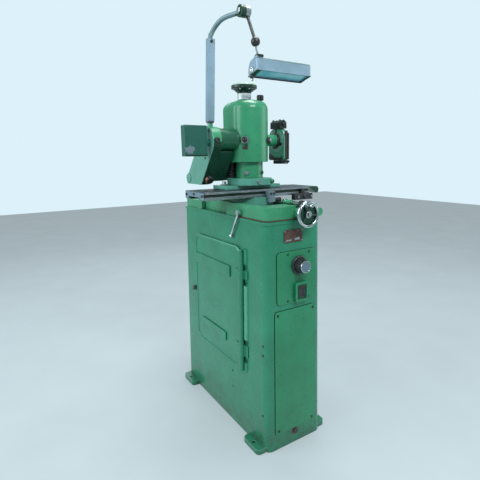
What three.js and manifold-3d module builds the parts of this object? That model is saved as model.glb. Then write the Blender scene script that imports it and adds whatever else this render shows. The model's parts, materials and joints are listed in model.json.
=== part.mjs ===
// Engraving cutter grinder on a tapered sheet steel cabinet: a bed and a cross slide, a long table,
// a swivelling head with a horizontal spindle and a belt drive, and a jointed work lamp.
// Millimetres. The origin is on the floor under the middle of the cabinet, +X is to the operator's
// right, +Y is to the back and +Z is up.
import * as THREE from 'three';
import { mergeVertices } from 'three/addons/utils/BufferGeometryUtils.js';
import Module from 'manifold-3d';

const wasm = await Module();
wasm.setup();

// Clearances, cuts and facet counts
const fit = { gap: 0.3, run: 0.5, loose: 1.2, overrun: 5 };
const facets = { tiny: 10, small: 16, medium: 24, fine: 36, corner: 5 };

// Cabinet
const cabinet = {
  halfWidth: 145.5, halfDepth: 384.5, height: 962, corner: 30, wall: 8, floor: 8, roof: 12,
  narrowX: 9, narrowY: 16, narrowHeight: 850, lipOut: 3.5, lipHeight: 11,
};
const lug = { reach: 38, length: 116, middle: 312, height: 22, corner: 18, hole: 8, holeInset: 18, root: 6 };
const sideHole = { radius: 5, height: 212, spread: 78, y: -109 };

// Door on the left side
const door = {
  front: -204, back: 228, bottom: 298, topDown: 122, thickness: 8, corner: 48, frame: 16,
};
const hinge = {
  out: 12, y: -208, radius: 11, knuckle: 13, pin: 4, pinReach: 24, columnFoot: 4, columnHead: 17,
  leafFront: -244, leafBack: -161, leafThickness: 5, upperDown: [128, 92], lowerUp: [71, 122],
};
const strip = { thickness: 6, upperDown: [143, 95], lowerUp: [88, 127] };
const stripSpan = { upper: [-115, 218], lower: [-72, 162] };
const latch = { y: 254, z: 549, boss: 11, arm: 6, long: 22, short: 13, thickness: 4, stud: 4 };

// Controls and plates on the front. What is down is measured from the cabinet's top.
const panel = { left: -93, right: 103, bottomDown: 332, topDown: 121, corner: 16, thickness: 5 };
const dial = {
  x: 18, down: 181, skirt: 38, skirtDepth: 9, body: 29, nose: 25, depth: 50, glass: 19, glassSink: 2,
  shaft: 5, shaftReach: 26,
};
const bezel = { left: -8, right: 55, bottomDown: 330, topDown: 250, depth: 14, corner: 6 };
const rocker = {
  left: 10, right: 33, bottomDown: 310, topDown: 260, thickness: 10, swingOut: 9, end: 1.2, pin: 2, pinReach: 3,
};
const namePlate = { left: -56, right: 41, bottomDown: 86, topDown: 37, thickness: 3, corner: 4 };
const cover = { halfWidth: 105, bottom: 70, topDown: 357, thickness: 5, corner: 14, rim: 24 };
const plug = { x: 0, z: 52, head: 12.5, headDepth: 6, shank: 9, shankDepth: 12 };
const gearBox = { left: -70, right: 82, bottomDown: 307, topDown: 147, depth: 76 };

// Bed on top of the cabinet. From here on every height is measured from the cabinet's top.
const bed = {
  sideInset: 11.5, frontInset: 18.5, backInset: 22.5, corner: 34, foot: 7.7, barTop: 54, lowBarTop: 44, noseDepth: 78,
  barBack: -72, barRound: 26, rearFront: 166, rearTop: 38, waistHalf: 114, waistTop: 50,
};
const boss = { radius: 24, length: 18, x: 120, smallRadius: 17, smallLength: 12, z: 23 };
const lever = {
  y: -190, z: 21, pad: 13, padDepth: 6, hub: 11, hubLength: 13, rod: 4.5, ball: 8, dy: 62, dz: -104,
};

// Cross feed. What is out stands so far out of the bed's boss.
const feed = { x: 22, z: 25, screw: 7, end: 90, hub: 15, out: 50 };
const wheel = { out: 36, radius: 52, rim: 6, spoke: 4, spokes: 4, hubOut: 46 };
const crank = { radius: 8, length: 38, waist: 6, pin: 3, at: 40, turn: 112 };
const slide = { half: 98, front: -215, back: 75, top: 35 };
const turntable = { y: -61, radius: 97, pivot: 12, pivotDepth: 9 };
const rail = { half: 38, flare: 9, height: 13, length: 78 };
const stop = {
  x: 22, z: 62, knob: 13, knobDepth: 15, drum: 10.5, drumLength: 34, rod: 6.5, rodLength: 68, core: 4,
};

// Table
const table = {
  left: -274, right: 261, front: -150, back: 28, bottom: 72, top: 105, grooveBottom: 85,
  grooveTop: 96, grooveDepth: 8,
};
const endCap = { length: 59, bottom: 73, top: 104, corner: 13 };
const dog = { left: 17, right: 48, bottom: 51, top: 96, depth: 27, tongue: 6, neck: 10, neckBottom: 74 };
const dogScrew = { radius: 9, length: 33, z: 60, shank: 4, shankReach: 12 };
const endDog = {
  left: 158, right: 262, bottom: 50, top: 77, depth: 24, bolt: 9, boltOut: 8, boltX: 216, boltZ: 63,
};

// Head base, flange and column
const base = { half: 141, front: -90, back: 32, thickness: 15.7, corner: 4 };
const swivel = { x: 0, y: -50, half: 86, chamfer: 36, thickness: 29, spigot: 30, spigotDepth: 9 };
const clampNut = { radius: 11, height: 16, x: 112, y: -20, washer: 15, washerHeight: 4 };
const column = { radius: 59, top: 288, sink: 8 };
const lift = { x: 0, y: -15, screw: 10, bottom: 188 };
const boot = { x: -60, y: 1, radius: 16, top: 263, wall: 3 };

// Head housing
const head = {
  radius: 85, y: -45, back: 28, bottom: 219, top: 475, shoulder: 38, wall: 14, roomBottom: 342, roomTop: 438,
};
const neck = { radius: 30, height: 34, sink: 12 };
const topWheel = {
  radius: 56, height: 32, hub: 17, groove: 6, lift: 4, dish: 12, dishRadius: 40, recess: 10, recessRadius: 37,
  hole: 6.5, holeAt: 27, holes: 5,
};
const spinner = { radius: 7, height: 38, waist: 5, pin: 3 };
const lockKnob = { x: 57, y: -55, radius: 15, stem: 7, stemBottom: 454, bottom: 480, top: 502, dome: 4 };
const sight = { z: 310, radius: 16, depth: 11, stem: 7, stemReach: 9, turn: -42, edge: 3 };

// Spindle, wheel and their guards
const spindle = { y: -45, z: 313, radius: 12, left: -192, right: 182 };
const barrel = { radius: 48, left: -160 };
const wheelBoss = { radius: 25, right: 150 };
const stone = { radius: 44, thickness: 13, left: 158, hub: 18, hubThickness: 4 };
const guard = {
  thickness: 25, front: -104, back: 14, bottom: 225, top: 364, wall: 4, topCorner: 44, bottomCorner: 12,
  mouthBottom: 234, mouthTop: 350, mouthDepth: 26,
};
const dresser = {
  height: 36, front: -82, back: -8, overhang: 6, facet: 10, rod: 2.5, rodY: -50, rodEnd: 342, rodLean: 4,
};
const rest = { height: 16, overhang: 5, front: -96, back: -30, arm: 24, armThickness: 6 };

// Belt drive
const beltGuard = {
  depth: 36, wall: 3, topY: -38, topZ: 306, radius: 60, bottom: 124, footFront: 22, footBack: 179, footCorner: 16,
  apronRight: -92, apronTop: 260, apronBack: 38, cheek: 4,
};
const motor = {
  y: 98, z: 186, radius: 51, left: -150, right: 62, shaft: 7, endBoss: 22, endBossLength: 14,
  footThickness: 13, footHalf: 56, footBottom: 166, footTop: 328, saddleTop: 250,
};
const pulleys = { spindle: 18, motor: 25, width: 14, rim: 3, flange: 1.5, inset: 12 };
const belt = { thickness: 5, width: 9 };
const tension = { x: -171, z: 150, radius: 20, depth: 17, stem: 5, stemReach: 12, edge: 5 };

// Lamp box, post, arm and lamp
const lampBox = { left: -314, right: -214, front: -75, back: -42, bottom: 245, top: 366, corner: 4 };
const spacer = { radius: 14, z: 300 };
const post = {
  bottomX: -185, topX: -171, y: -45, bottom: 384, top: 698, width: 32, depth: 18, collar: 14, collarHeight: 5,
  boss: 11, bossTop: 378, spigot: 6, spigotReach: 26, seat: 10, seatRadius: 5,
};
const lampArm = {
  radius: 9, rise: 34, kneeX: -160, kneeY: -52, overX: -148, overY: -100, overZ: 758, steps: 16,
};
const elbow = { y: -190, z: 767, left: -125, thickness: 20, radius: 21.5, pin: 5, pinReach: 16 };
const dropRod = { radius: 6, ballX: -100, ballY: -258, ballZ: 649, ball: 17, socket: 9, mouthTurn: 20 };
const lampStem = { radius: 5, ball: 8.5, padLength: 24, padHeight: 9, padDepth: 24 };
const lamp = {
  left: -92, right: 170, front: -256, back: -190, lower: 556, height: 42, drop: 16, wall: 2.5,
  backShare: 0.1, crownShare: 0.3,
};
const lampGlass = { inset: 8, thickness: 3 };
const lampTube = { radius: 7, z: 576, y: -226 };

// Placing and joining solids

const axes = {
  x: new THREE.Vector3(1, 0, 0),
  y: new THREE.Vector3(0, 1, 0),
  z: new THREE.Vector3(0, 0, 1),
};
const extrudeBasis = {
  x: new THREE.Matrix4().makeBasis(axes.y, axes.z, axes.x),
  y: new THREE.Matrix4().makeBasis(axes.x, axes.z, axes.y.clone().negate()),
  z: new THREE.Matrix4(),
};
const latheBasis = {
  x: new THREE.Matrix4().makeBasis(axes.z, axes.x, axes.y),
  y: new THREE.Matrix4(),
  z: new THREE.Matrix4().makeBasis(axes.y, axes.z, axes.x),
};

// A closed triangle list with its faces pointing out, whatever way the geometry class wound them.
function toSolid(geometry) {
  const bare = geometry.clone();
  bare.deleteAttribute('normal');
  bare.deleteAttribute('uv');
  const merged = mergeVertices(bare);
  const place = merged.attributes.position;
  const index = Array.from(merged.index.array);
  const corners = [new THREE.Vector3(), new THREE.Vector3(), new THREE.Vector3()];
  const kept = [];
  let volume = 0;
  for (let at = 0; at < index.length; at += 3) {
    const triangle = index.slice(at, at + 3);
    if (new Set(triangle).size < 3) continue;
    corners.forEach((corner, side) => corner.fromBufferAttribute(place, triangle[side]));
    volume += corners[0].dot(corners[1].cross(corners[2]));
    kept.push(triangle);
  }
  if (volume < 0) kept.forEach((triangle) => triangle.reverse());
  return new wasm.Manifold(new wasm.Mesh({
    numProp: 3,
    vertProperties: new Float32Array(place.array),
    triVerts: new Uint32Array(kept.flat()),
  }));
}

function toGeometry(manifold) {
  const mesh = manifold.getMesh();
  const geometry = new THREE.BufferGeometry();
  geometry.setAttribute('position', new THREE.BufferAttribute(new Float32Array(mesh.vertProperties), 3));
  geometry.setIndex(Array.from(mesh.triVerts));
  return geometry;
}

function join(first, ...others) {
  return toGeometry(others.reduce((sum, next) => sum.add(toSolid(next)), toSolid(first)));
}

function cut(first, ...tools) {
  return toGeometry(tools.reduce((rest, tool) => rest.subtract(toSolid(tool)), toSolid(first)));
}

function common(first, second) {
  return toGeometry(toSolid(first).intersect(toSolid(second)));
}

// Outlines

function polygon(points) {
  return new THREE.Shape(points.map(([u, v]) => new THREE.Vector2(u, v)));
}

function roundedBox(left, right, bottom, top, radius) {
  const shape = new THREE.Shape();
  const quarter = Math.PI / 2;
  shape.absarc(right - radius, bottom + radius, radius, -quarter, 0);
  shape.absarc(right - radius, top - radius, radius, 0, quarter);
  shape.absarc(left + radius, top - radius, radius, quarter, 2 * quarter);
  shape.absarc(left + radius, bottom + radius, radius, 2 * quarter, 3 * quarter);
  shape.closePath();
  return shape;
}

function circle(u, v, radius, count) {
  const turn = 2 * Math.PI / count;
  const points = Array.from({ length: count }, (_, step) => [
    u + radius * Math.cos(turn * step),
    v + radius * Math.sin(turn * step),
  ]);
  return polygon(points);
}

// The outline of a belt drawn tight round circles [u, v, radius] that are listed counterclockwise.
function beltOutline(circles, count = facets.tiny) {
  const leave = circles.map(([u, v, radius], at) => {
    const [nextU, nextV, nextRadius] = circles[(at + 1) % circles.length];
    const along = Math.atan2(nextV - v, nextU - u);
    return along - Math.acos((radius - nextRadius) / Math.hypot(nextU - u, nextV - v));
  });
  return polygon(circles.flatMap(([u, v, radius], at) => {
    const from = leave[(at + circles.length - 1) % circles.length];
    const turn = 2 * Math.PI;
    const sweep = (((leave[at] - from) % turn) + turn) % turn;
    return Array.from({ length: count + 1 }, (_, step) => [
      u + radius * Math.cos(from + sweep * step / count),
      v + radius * Math.sin(from + sweep * step / count),
    ]);
  }));
}

// Bodies made from outlines

function prism(axis, shape, from, to, curveSegments = facets.corner) {
  const geometry = new THREE.ExtrudeGeometry(shape, {
    depth: to - from, bevelEnabled: false, curveSegments,
  });
  geometry.translate(0, 0, axis === 'y' ? -to : from);
  return geometry.applyMatrix4(extrudeBasis[axis]);
}

function block(left, right, front, back, bottom, top) {
  const geometry = new THREE.BoxGeometry(right - left, back - front, top - bottom);
  return geometry.translate((left + right) / 2, (front + back) / 2, (bottom + top) / 2);
}

function bar(axis, u, v, radius, from, to, count = facets.small) {
  return prism(axis, circle(u, v, radius, count), from, to);
}

// A turned body: the profile lists radius and distance along the axis, and closes on the axis.
function turned(axis, profile, count = facets.medium) {
  const points = profile.map(([radius, along]) => new THREE.Vector2(radius, along));
  return new THREE.LatheGeometry(points, count).applyMatrix4(latheBasis[axis]);
}

function ball(x, y, z, radius, count = facets.small) {
  return new THREE.SphereGeometry(radius, count, count / 2).translate(x, y, z);
}

function rodBetween(from, to, radius, count = facets.tiny) {
  const start = new THREE.Vector3(...from);
  const along = new THREE.Vector3(...to).sub(start);
  const geometry = new THREE.CylinderGeometry(radius, radius, along.length(), count);
  geometry.translate(0, along.length() / 2, 0);
  geometry.applyQuaternion(new THREE.Quaternion().setFromUnitVectors(axes.y, along.normalize()));
  return geometry.translate(...from);
}

function bentRod(points, radius, steps, count = facets.small) {
  const path = new THREE.CatmullRomCurve3(points.map((point) => new THREE.Vector3(...point)));
  return new THREE.ExtrudeGeometry(circle(0, 0, radius, count), {
    extrudePath: path, steps, bevelEnabled: false,
  });
}

// A closed body skinned over rings of points, each ring as long as the next and convex.
function loft(rings) {
  const count = rings[0].length;
  const index = [];
  for (let level = 0; level + 1 < rings.length; level += 1) {
    for (let at = 0; at < count; at += 1) {
      const low = level * count;
      const next = (at + 1) % count;
      index.push(low + at, low + next, low + count + next);
      index.push(low + at, low + count + next, low + count + at);
    }
  }
  const last = (rings.length - 1) * count;
  for (let at = 1; at + 1 < count; at += 1) {
    index.push(0, at + 1, at);
    index.push(last, last + at, last + at + 1);
  }
  const geometry = new THREE.BufferGeometry();
  geometry.setAttribute('position', new THREE.Float32BufferAttribute(rings.flat(2), 3));
  geometry.setIndex(index);
  return geometry;
}

// The cabinet's taper

function eachVertex(geometry, change) {
  const place = geometry.attributes.position;
  const point = new THREE.Vector3();
  for (let at = 0; at < place.count; at += 1) {
    point.fromBufferAttribute(place, at);
    change(point);
    place.setXYZ(at, point.x, point.y, point.z);
  }
  return geometry;
}

const narrowRateX = cabinet.narrowX / cabinet.narrowHeight;
const narrowRateY = cabinet.narrowY / cabinet.narrowHeight;
const faceTilt = Math.atan(narrowRateY);

function taper(geometry) {
  return eachVertex(geometry, (point) => {
    point.x *= 1 - narrowRateX * point.z / cabinet.halfWidth;
    point.y *= 1 - narrowRateY * point.z / cabinet.halfDepth;
  });
}

// The left side leans in towards the top, and what hangs on it leans alike.
function leanLeft(geometry) {
  return eachVertex(geometry, (point) => {
    point.x += narrowRateX * point.z;
  });
}

function frontFaceY(z, proud) {
  return -(cabinet.halfDepth + proud) * (1 - narrowRateY * z / cabinet.halfDepth);
}

// What sits near the top of the cabinet keeps its distance from that top.
function fromTop(down) {
  return cabinet.height - down;
}

const doorTop = fromTop(door.topDown);
const dialZ = fromTop(dial.down);
const coverTop = fromTop(cover.topDown);

// Materials and nodes

const paints = {
  enamel: [0x6f9d8b, 0.42, 0.1],
  enamelDark: [0x3f7f63, 0.4, 0.1],
  enamelPale: [0x8fb0a8, 0.45, 0.1],
  steel: [0x9aa3a6, 0.35, 0.9],
  chrome: [0xd9dee0, 0.15, 1],
  black: [0x15181a, 0.5, 0],
  dark: [0x2b3133, 0.55, 0.3],
  castIron: [0x5d6a6a, 0.6, 0.6],
  copper: [0x7a4a38, 0.5, 0.4],
  stone: [0xb9b3a6, 0.95, 0],
  rubber: [0x1b1c1c, 0.9, 0],
  glass: [0xdfeaf0, 0.2, 0],
};

const machine = new THREE.Group();
const machineTop = new THREE.Group();
machineTop.position.z = cabinet.height;
machine.add(machineTop);

function piece(name, paint, geometry, parent = machine) {
  const [color, roughness, metalness] = paints[paint];
  const shape = geometry.index ? geometry.toNonIndexed() : geometry;
  shape.computeVertexNormals();
  const mesh = new THREE.Mesh(shape, new THREE.MeshStandardMaterial({ color, roughness, metalness }));
  mesh.name = name;
  parent.add(mesh);
  return mesh;
}

// Cabinet

function lugAt(sideX, sideY) {
  const inner = cabinet.halfWidth - lug.root;
  const outer = cabinet.halfWidth + lug.reach;
  const near = lug.middle - lug.length / 2;
  const outline = roundedBox(inner - lug.corner, outer, near, near + lug.length, lug.corner);
  const foot = prism('z', outline, 0, lug.height);
  const hole = bar('z', outer - lug.holeInset, lug.middle, lug.hole, -fit.overrun, lug.height + fit.overrun);
  const inside = block(0, inner, 0, 2 * lug.middle, -fit.overrun, lug.height + fit.overrun);
  const trimmed = cut(foot, hole, inside);
  return trimmed.scale(sideX, sideY, 1);
}

function sideBore(y, z, radius) {
  return bar('x', y, z, radius, -cabinet.halfWidth - fit.overrun, 0, facets.tiny);
}

function frontBore(x, z, radius, reach) {
  return bar('y', x, z, radius, -cabinet.halfDepth - fit.overrun, -cabinet.halfDepth + reach);
}

function cabinetShell() {
  const { halfWidth, halfDepth, height, corner, wall } = cabinet;
  const outer = prism('z', roundedBox(-halfWidth, halfWidth, -halfDepth, halfDepth, corner), 0, height);
  const innerOutline = roundedBox(
    -halfWidth + wall, halfWidth - wall, -halfDepth + wall, halfDepth - wall, corner - wall,
  );
  const inner = prism('z', innerOutline, cabinet.floor, height - cabinet.roof);
  const lipX = halfWidth - narrowRateX * height + cabinet.lipOut;
  const lipY = halfDepth - narrowRateY * height + cabinet.lipOut;
  const lipOutline = roundedBox(-lipX, lipX, -lipY, lipY, corner);
  const lip = prism('z', lipOutline, height - cabinet.lipHeight, height);
  const lugs = [[1, 1], [1, -1], [-1, 1], [-1, -1]].map(([sideX, sideY]) => lugAt(sideX, sideY));
  const doorway = leanLeft(block(
    -halfWidth - lug.reach, -halfWidth + wall + fit.overrun,
    door.front + door.frame, door.back - door.frame, door.bottom + door.frame, doorTop - door.frame,
  ));
  const hatch = taper(block(
    -cover.halfWidth + cover.rim, cover.halfWidth - cover.rim,
    -halfDepth - fit.overrun, -halfDepth + wall + fit.overrun,
    cover.bottom + cover.rim, coverTop - cover.rim,
  ));
  const bores = [
    sideBore(sideHole.y, sideHole.height + sideHole.spread / 2, sideHole.radius),
    sideBore(sideHole.y, sideHole.height - sideHole.spread / 2, sideHole.radius),
    frontBore(dial.x, dialZ, dial.shaft + fit.loose, wall + dial.shaftReach + fit.overrun),
    frontBore(plug.x, plug.z, plug.shank + fit.run, wall + fit.overrun + wall),
    leanLeft(bar('x', latch.y, latch.z, latch.stud + fit.run, -halfWidth - fit.overrun, 0, facets.tiny)),
  ];
  const shell = cut(taper(outer), taper(inner));
  return cut(join(shell, lip, ...lugs), doorway, hatch, ...bores);
}

// Door, hinges and latch, built upright and leaned with the side they hang on

const sideX = -cabinet.halfWidth;
const doorInner = sideX - fit.gap;
const doorOuter = doorInner - door.thickness;
const hingeX = sideX - hinge.out;

// The hinges and the strips keep their distance from the door's top and bottom edges.
const hingeUpper = hinge.upperDown.map((down) => doorTop - down);
const hingeLower = hinge.lowerUp.map((up) => door.bottom + up);
const stripUpper = strip.upperDown.map((down) => doorTop - down);
const stripLower = strip.lowerUp.map((up) => door.bottom + up);

function hingeZones(margin) {
  return [hingeUpper, hingeLower].map(([bottom, top]) => [bottom - margin, top + margin]);
}

function doorLeaf() {
  const outline = roundedBox(door.front, door.back, door.bottom, doorTop, door.corner);
  const sheet = prism('x', outline, doorOuter, doorInner);
  const columnPost = bar(
    'z', hingeX, hinge.y, hinge.radius, door.bottom + hinge.columnFoot, doorTop - hinge.columnHead,
  );
  const leaves = hingeZones(0).map(([bottom, top]) => block(
    doorOuter - hinge.leafThickness, doorOuter + fit.overrun,
    hinge.y + hinge.knuckle + fit.loose, hinge.leafBack, bottom, top,
  ));
  const notches = hingeZones(fit.run).map(([bottom, top]) => bar(
    'z', hingeX, hinge.y, hinge.knuckle + fit.loose, bottom, top,
  ));
  const bores = hingeZones(hinge.pinReach + fit.loose).map(([bottom, top]) => bar(
    'z', hingeX, hinge.y, hinge.pin + fit.run, bottom, top, facets.tiny,
  ));
  return leanLeft(cut(join(sheet, columnPost, ...leaves), ...notches, ...bores));
}

function hingeBracket([bottom, top]) {
  const knuckle = bar('z', hingeX, hinge.y, hinge.knuckle, bottom, top);
  const leaf = block(
    doorInner - hinge.leafThickness, doorInner, hinge.leafFront, hinge.y - hinge.pin, bottom, top,
  );
  const web = block(
    hingeX, doorInner - fit.gap, hinge.y - hinge.knuckle, hinge.y - hinge.pin, bottom, top,
  );
  const pin = bar(
    'z', hingeX, hinge.y, hinge.pin, bottom - hinge.pinReach, top + hinge.pinReach, facets.tiny,
  );
  const cheek = block(doorInner, -sideX, hinge.leafFront, -hinge.leafFront, bottom, top);
  return leanLeft(cut(join(knuckle, leaf, web, pin), cheek));
}

function doorStrip([front, back], [bottom, top]) {
  const outer = doorOuter - fit.gap;
  return leanLeft(block(outer - strip.thickness, outer, front, back, bottom, top));
}

function doorLatch() {
  const armBack = doorOuter - fit.run;
  const armFront = armBack - latch.thickness;
  const hub = bar('x', latch.y, latch.z, latch.boss, armFront - latch.thickness, doorInner);
  const blade = block(
    armFront, armBack, latch.y - latch.long, latch.y + latch.short, latch.z - latch.arm, latch.z + latch.arm,
  );
  const stud = bar('x', latch.y, latch.z, latch.stud, doorInner - fit.gap, sideX + cabinet.wall, facets.tiny);
  return leanLeft(join(hub, blade, stud));
}

// Front plates and controls

const plateBack = cabinet.halfDepth + fit.gap;

function frontPlate(left, right, bottom, top, corner, thickness) {
  return prism('y', roundedBox(left, right, bottom, top, corner), -plateBack - thickness, -plateBack);
}

function switchPanel() {
  const { left, right, bottomDown, topDown, corner, thickness } = panel;
  const plate = taper(frontPlate(left, right, fromTop(bottomDown), fromTop(topDown), corner, thickness));
  return cut(plate, frontBore(dial.x, dialZ, dial.shaft + fit.loose, cabinet.wall + dial.shaftReach));
}

function lowerCover() {
  const { halfWidth, bottom, corner, thickness } = cover;
  return taper(frontPlate(-halfWidth, halfWidth, bottom, coverTop, corner, thickness));
}

function makerPlate() {
  const { left, right, bottomDown, topDown, corner, thickness } = namePlate;
  return taper(frontPlate(left, right, fromTop(bottomDown), fromTop(topDown), corner, thickness));
}

// A control is built about its own middle, in a group that stands square on the leaning front.
function frontStand(x, z, proud) {
  const stand = new THREE.Group();
  stand.position.set(x, frontFaceY(z, proud), z);
  stand.rotation.x = -faceTilt;
  machine.add(stand);
  return stand;
}

const panelFace = fit.gap + panel.thickness + fit.gap;

function rotarySwitch() {
  const { skirt, skirtDepth, body, nose, depth, glass, glassSink, shaft, shaftReach } = dial;
  return turned('y', [
    [0, -depth + glassSink], [glass, -depth + glassSink], [glass, -depth], [nose, -depth],
    [body, -depth + glassSink], [body, -skirtDepth - glassSink], [skirt, -skirtDepth], [skirt, 0],
    [shaft, 0], [shaft, shaftReach], [0, shaftReach],
  ], facets.fine);
}

const rockerMiddle = {
  x: (rocker.left + rocker.right) / 2,
  z: fromTop((rocker.bottomDown + rocker.topDown) / 2),
};
const rockerHalf = { x: (rocker.right - rocker.left) / 2, z: (rocker.bottomDown - rocker.topDown) / 2 };

function switchBezel() {
  const outline = roundedBox(
    bezel.left - rockerMiddle.x, bezel.right - rockerMiddle.x,
    fromTop(bezel.bottomDown) - rockerMiddle.z, fromTop(bezel.topDown) - rockerMiddle.z, bezel.corner,
  );
  const frame = prism('y', outline, -bezel.depth, 0);
  const window = block(
    -rockerHalf.x, rockerHalf.x, -bezel.depth - fit.overrun, fit.overrun, -rockerHalf.z, rockerHalf.z,
  );
  const pinReach = rockerHalf.x + rocker.pinReach + fit.run;
  const pinHole = bar('x', -rocker.swingOut, 0, rocker.pin + fit.run, -pinReach, pinReach, facets.tiny);
  return cut(frame, window, pinHole);
}

function rockerKey() {
  const halfX = rockerHalf.x - fit.gap;
  const halfZ = rockerHalf.z - rocker.end;
  const half = rocker.thickness / 2;
  const outline = polygon([
    [-half, -halfZ], [half, -halfZ], [half, halfZ], [-half, halfZ], [-half + rocker.end, 0],
  ]);
  const pinReach = rockerHalf.x + rocker.pinReach;
  return join(prism('x', outline, -halfX, halfX), bar('x', 0, 0, rocker.pin, -pinReach, pinReach, facets.tiny));
}

function drainPlug() {
  const { head: rim, headDepth, shank, shankDepth } = plug;
  return turned('y', [
    [0, -headDepth], [rim, -headDepth], [rim, 0], [shank, 0], [shank, shankDepth], [0, shankDepth],
  ]);
}

function switchgear() {
  const front = -cabinet.halfDepth + cabinet.wall + fit.gap;
  const { left, right, bottomDown, topDown, depth } = gearBox;
  const box = taper(block(left, right, front, front + depth, fromTop(bottomDown), fromTop(topDown)));
  const well = frontBore(dial.x, dialZ, dial.shaft + fit.loose, cabinet.wall + dial.shaftReach + fit.overrun);
  return cut(box, well);
}

// Bed

const bedBottom = fit.gap;
const bedFootTop = bedBottom + bed.foot;
const bedHalf = cabinet.halfWidth - bed.sideInset;
const bedFront = bed.frontInset - cabinet.halfDepth;
const bedBack = cabinet.halfDepth - bed.backInset;
const noseBack = bedFront + bed.noseDepth;
const wayInner = slide.half + fit.run;
const bossFace = bedFront - boss.length;
const screwFront = bossFace - feed.out;
const wheelY = bossFace - wheel.out;
const leverFace = -bedHalf - lever.padDepth;

function bedPlan(top) {
  return prism('z', roundedBox(-bedHalf, bedHalf, bedFront, bedBack, bed.corner), bedBottom, top);
}

// A side bar guides the cross slide. Its back end is rounded off towards the waist of the bed.
function sideBar(from, to, top) {
  const front = noseBack - fit.overrun;
  const side = new THREE.Shape();
  side.moveTo(front, bedBottom);
  side.lineTo(bed.barBack, bedBottom);
  side.absarc(bed.barBack - bed.barRound, top - bed.barRound, bed.barRound, 0, Math.PI / 2);
  side.lineTo(front, top);
  return prism('x', side, from, to);
}

function waistWall(from, to, top) {
  return block(from, to, bed.barBack - 2 * bed.barRound, bed.rearFront + fit.overrun, bedBottom, top);
}

function bedCasting() {
  const { barTop, lowBarTop, rearFront, rearTop, waistHalf, waistTop } = bed;
  const nose = common(bedPlan(barTop), block(-bedHalf, bedHalf, bedFront, noseBack, bedBottom, barTop));
  const tail = common(bedPlan(rearTop), block(-bedHalf, bedHalf, rearFront, bedBack, bedBottom, rearTop));
  const waists = [[-bedHalf - fit.overrun, -waistHalf], [waistHalf, bedHalf + fit.overrun]].map(([from, to]) => block(
    from, to, bed.barBack, rearFront, bedBottom - fit.overrun, bedFootTop + fit.overrun,
  ));
  const screwBoss = bar('y', feed.x, feed.z, boss.radius, bossFace, bedFront + fit.overrun, facets.medium);
  const sideBoss = bar('y', boss.x, boss.z, boss.smallRadius, bedFront - boss.smallLength, bedFront + bed.corner);
  const leverPad = bar('x', lever.y, lever.z, lever.pad, leverFace, -bedHalf + fit.overrun);
  const drum = bar('y', stop.x, stop.z, stop.drum, noseBack - stop.drumLength, noseBack);
  const body = join(
    cut(bedPlan(bedFootTop), ...waists), nose, tail, screwBoss, sideBoss, leverPad, drum,
    sideBar(-bedHalf, -wayInner, barTop), sideBar(wayInner, bedHalf, lowBarTop),
    waistWall(-waistHalf, -wayInner, waistTop), waistWall(wayInner, waistHalf, lowBarTop),
  );
  const screwBore = bar('y', feed.x, feed.z, feed.screw + fit.run, bossFace - fit.overrun, noseBack + fit.overrun);
  const leverBore = bar('x', lever.y, lever.z, lever.rod + fit.run, leverFace - fit.overrun, -waistHalf, facets.tiny);
  const stopBore = bar(
    'y', stop.x, stop.z, stop.core + fit.run, noseBack - stop.drumLength - fit.overrun, noseBack + fit.overrun,
    facets.tiny,
  );
  return cut(body, screwBore, leverBore, stopBore);
}

function clampLever() {
  const hubRight = leverFace - fit.gap;
  const hubLeft = hubRight - lever.hubLength;
  const middle = (hubLeft + hubRight) / 2;
  const tip = [middle, lever.y + lever.dy, lever.z + lever.dz];
  return join(
    bar('x', lever.y, lever.z, lever.hub, hubLeft, hubRight),
    bar('x', lever.y, lever.z, lever.rod, hubRight - fit.overrun, -bedHalf, facets.tiny),
    rodBetween([middle, lever.y, lever.z], tip, lever.rod),
    ball(...tip, lever.ball, facets.medium / 2),
  );
}

// Cross feed: screw, handwheel and crank handle

function feedScrew() {
  return bar('y', feed.x, feed.z, feed.screw, screwFront, feed.end);
}

function crankPlace() {
  const angle = THREE.MathUtils.degToRad(crank.turn);
  return [feed.x + crank.at * Math.cos(angle), feed.z + crank.at * Math.sin(angle)];
}

function handwheel() {
  const { radius, rim, spoke, spokes } = wheel;
  const reach = radius - rim;
  const ring = new THREE.TorusGeometry(reach, rim, facets.tiny, facets.fine);
  ring.rotateX(Math.PI / 2).translate(feed.x, wheelY, feed.z);
  const hub = bar('y', feed.x, feed.z, feed.hub, bossFace - wheel.hubOut, bossFace - fit.gap, facets.medium);
  const arms = Array.from({ length: spokes }, (_, step) => {
    const angle = 2 * Math.PI * (step + 1 / 2) / spokes;
    const end = [feed.x + reach * Math.cos(angle), wheelY, feed.z + reach * Math.sin(angle)];
    return rodBetween([feed.x, wheelY, feed.z], end, spoke);
  });
  const [crankX, crankZ] = crankPlace();
  const seat = bar('y', crankX, crankZ, crank.radius, wheelY - rim, wheelY + rim);
  const bore = bar('y', feed.x, feed.z, feed.screw + fit.gap, screwFront - fit.overrun, feed.end);
  const pinHole = bar(
    'y', crankX, crankZ, crank.pin + fit.run, wheelY - rim - fit.overrun, wheelY + rim + fit.overrun, facets.tiny,
  );
  return cut(join(ring, hub, ...arms, seat), bore, pinHole);
}

function crankHandle() {
  const front = wheelY - wheel.rim - fit.gap;
  const end = front - crank.length;
  const back = wheelY + wheel.rim;
  const [x, z] = crankPlace();
  return turned('y', [
    [0, end], [crank.waist, end], [crank.radius, end + crank.radius], [crank.waist, front],
    [crank.pin, front], [crank.pin, back], [0, back],
  ], facets.small).translate(x, 0, z);
}

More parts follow.
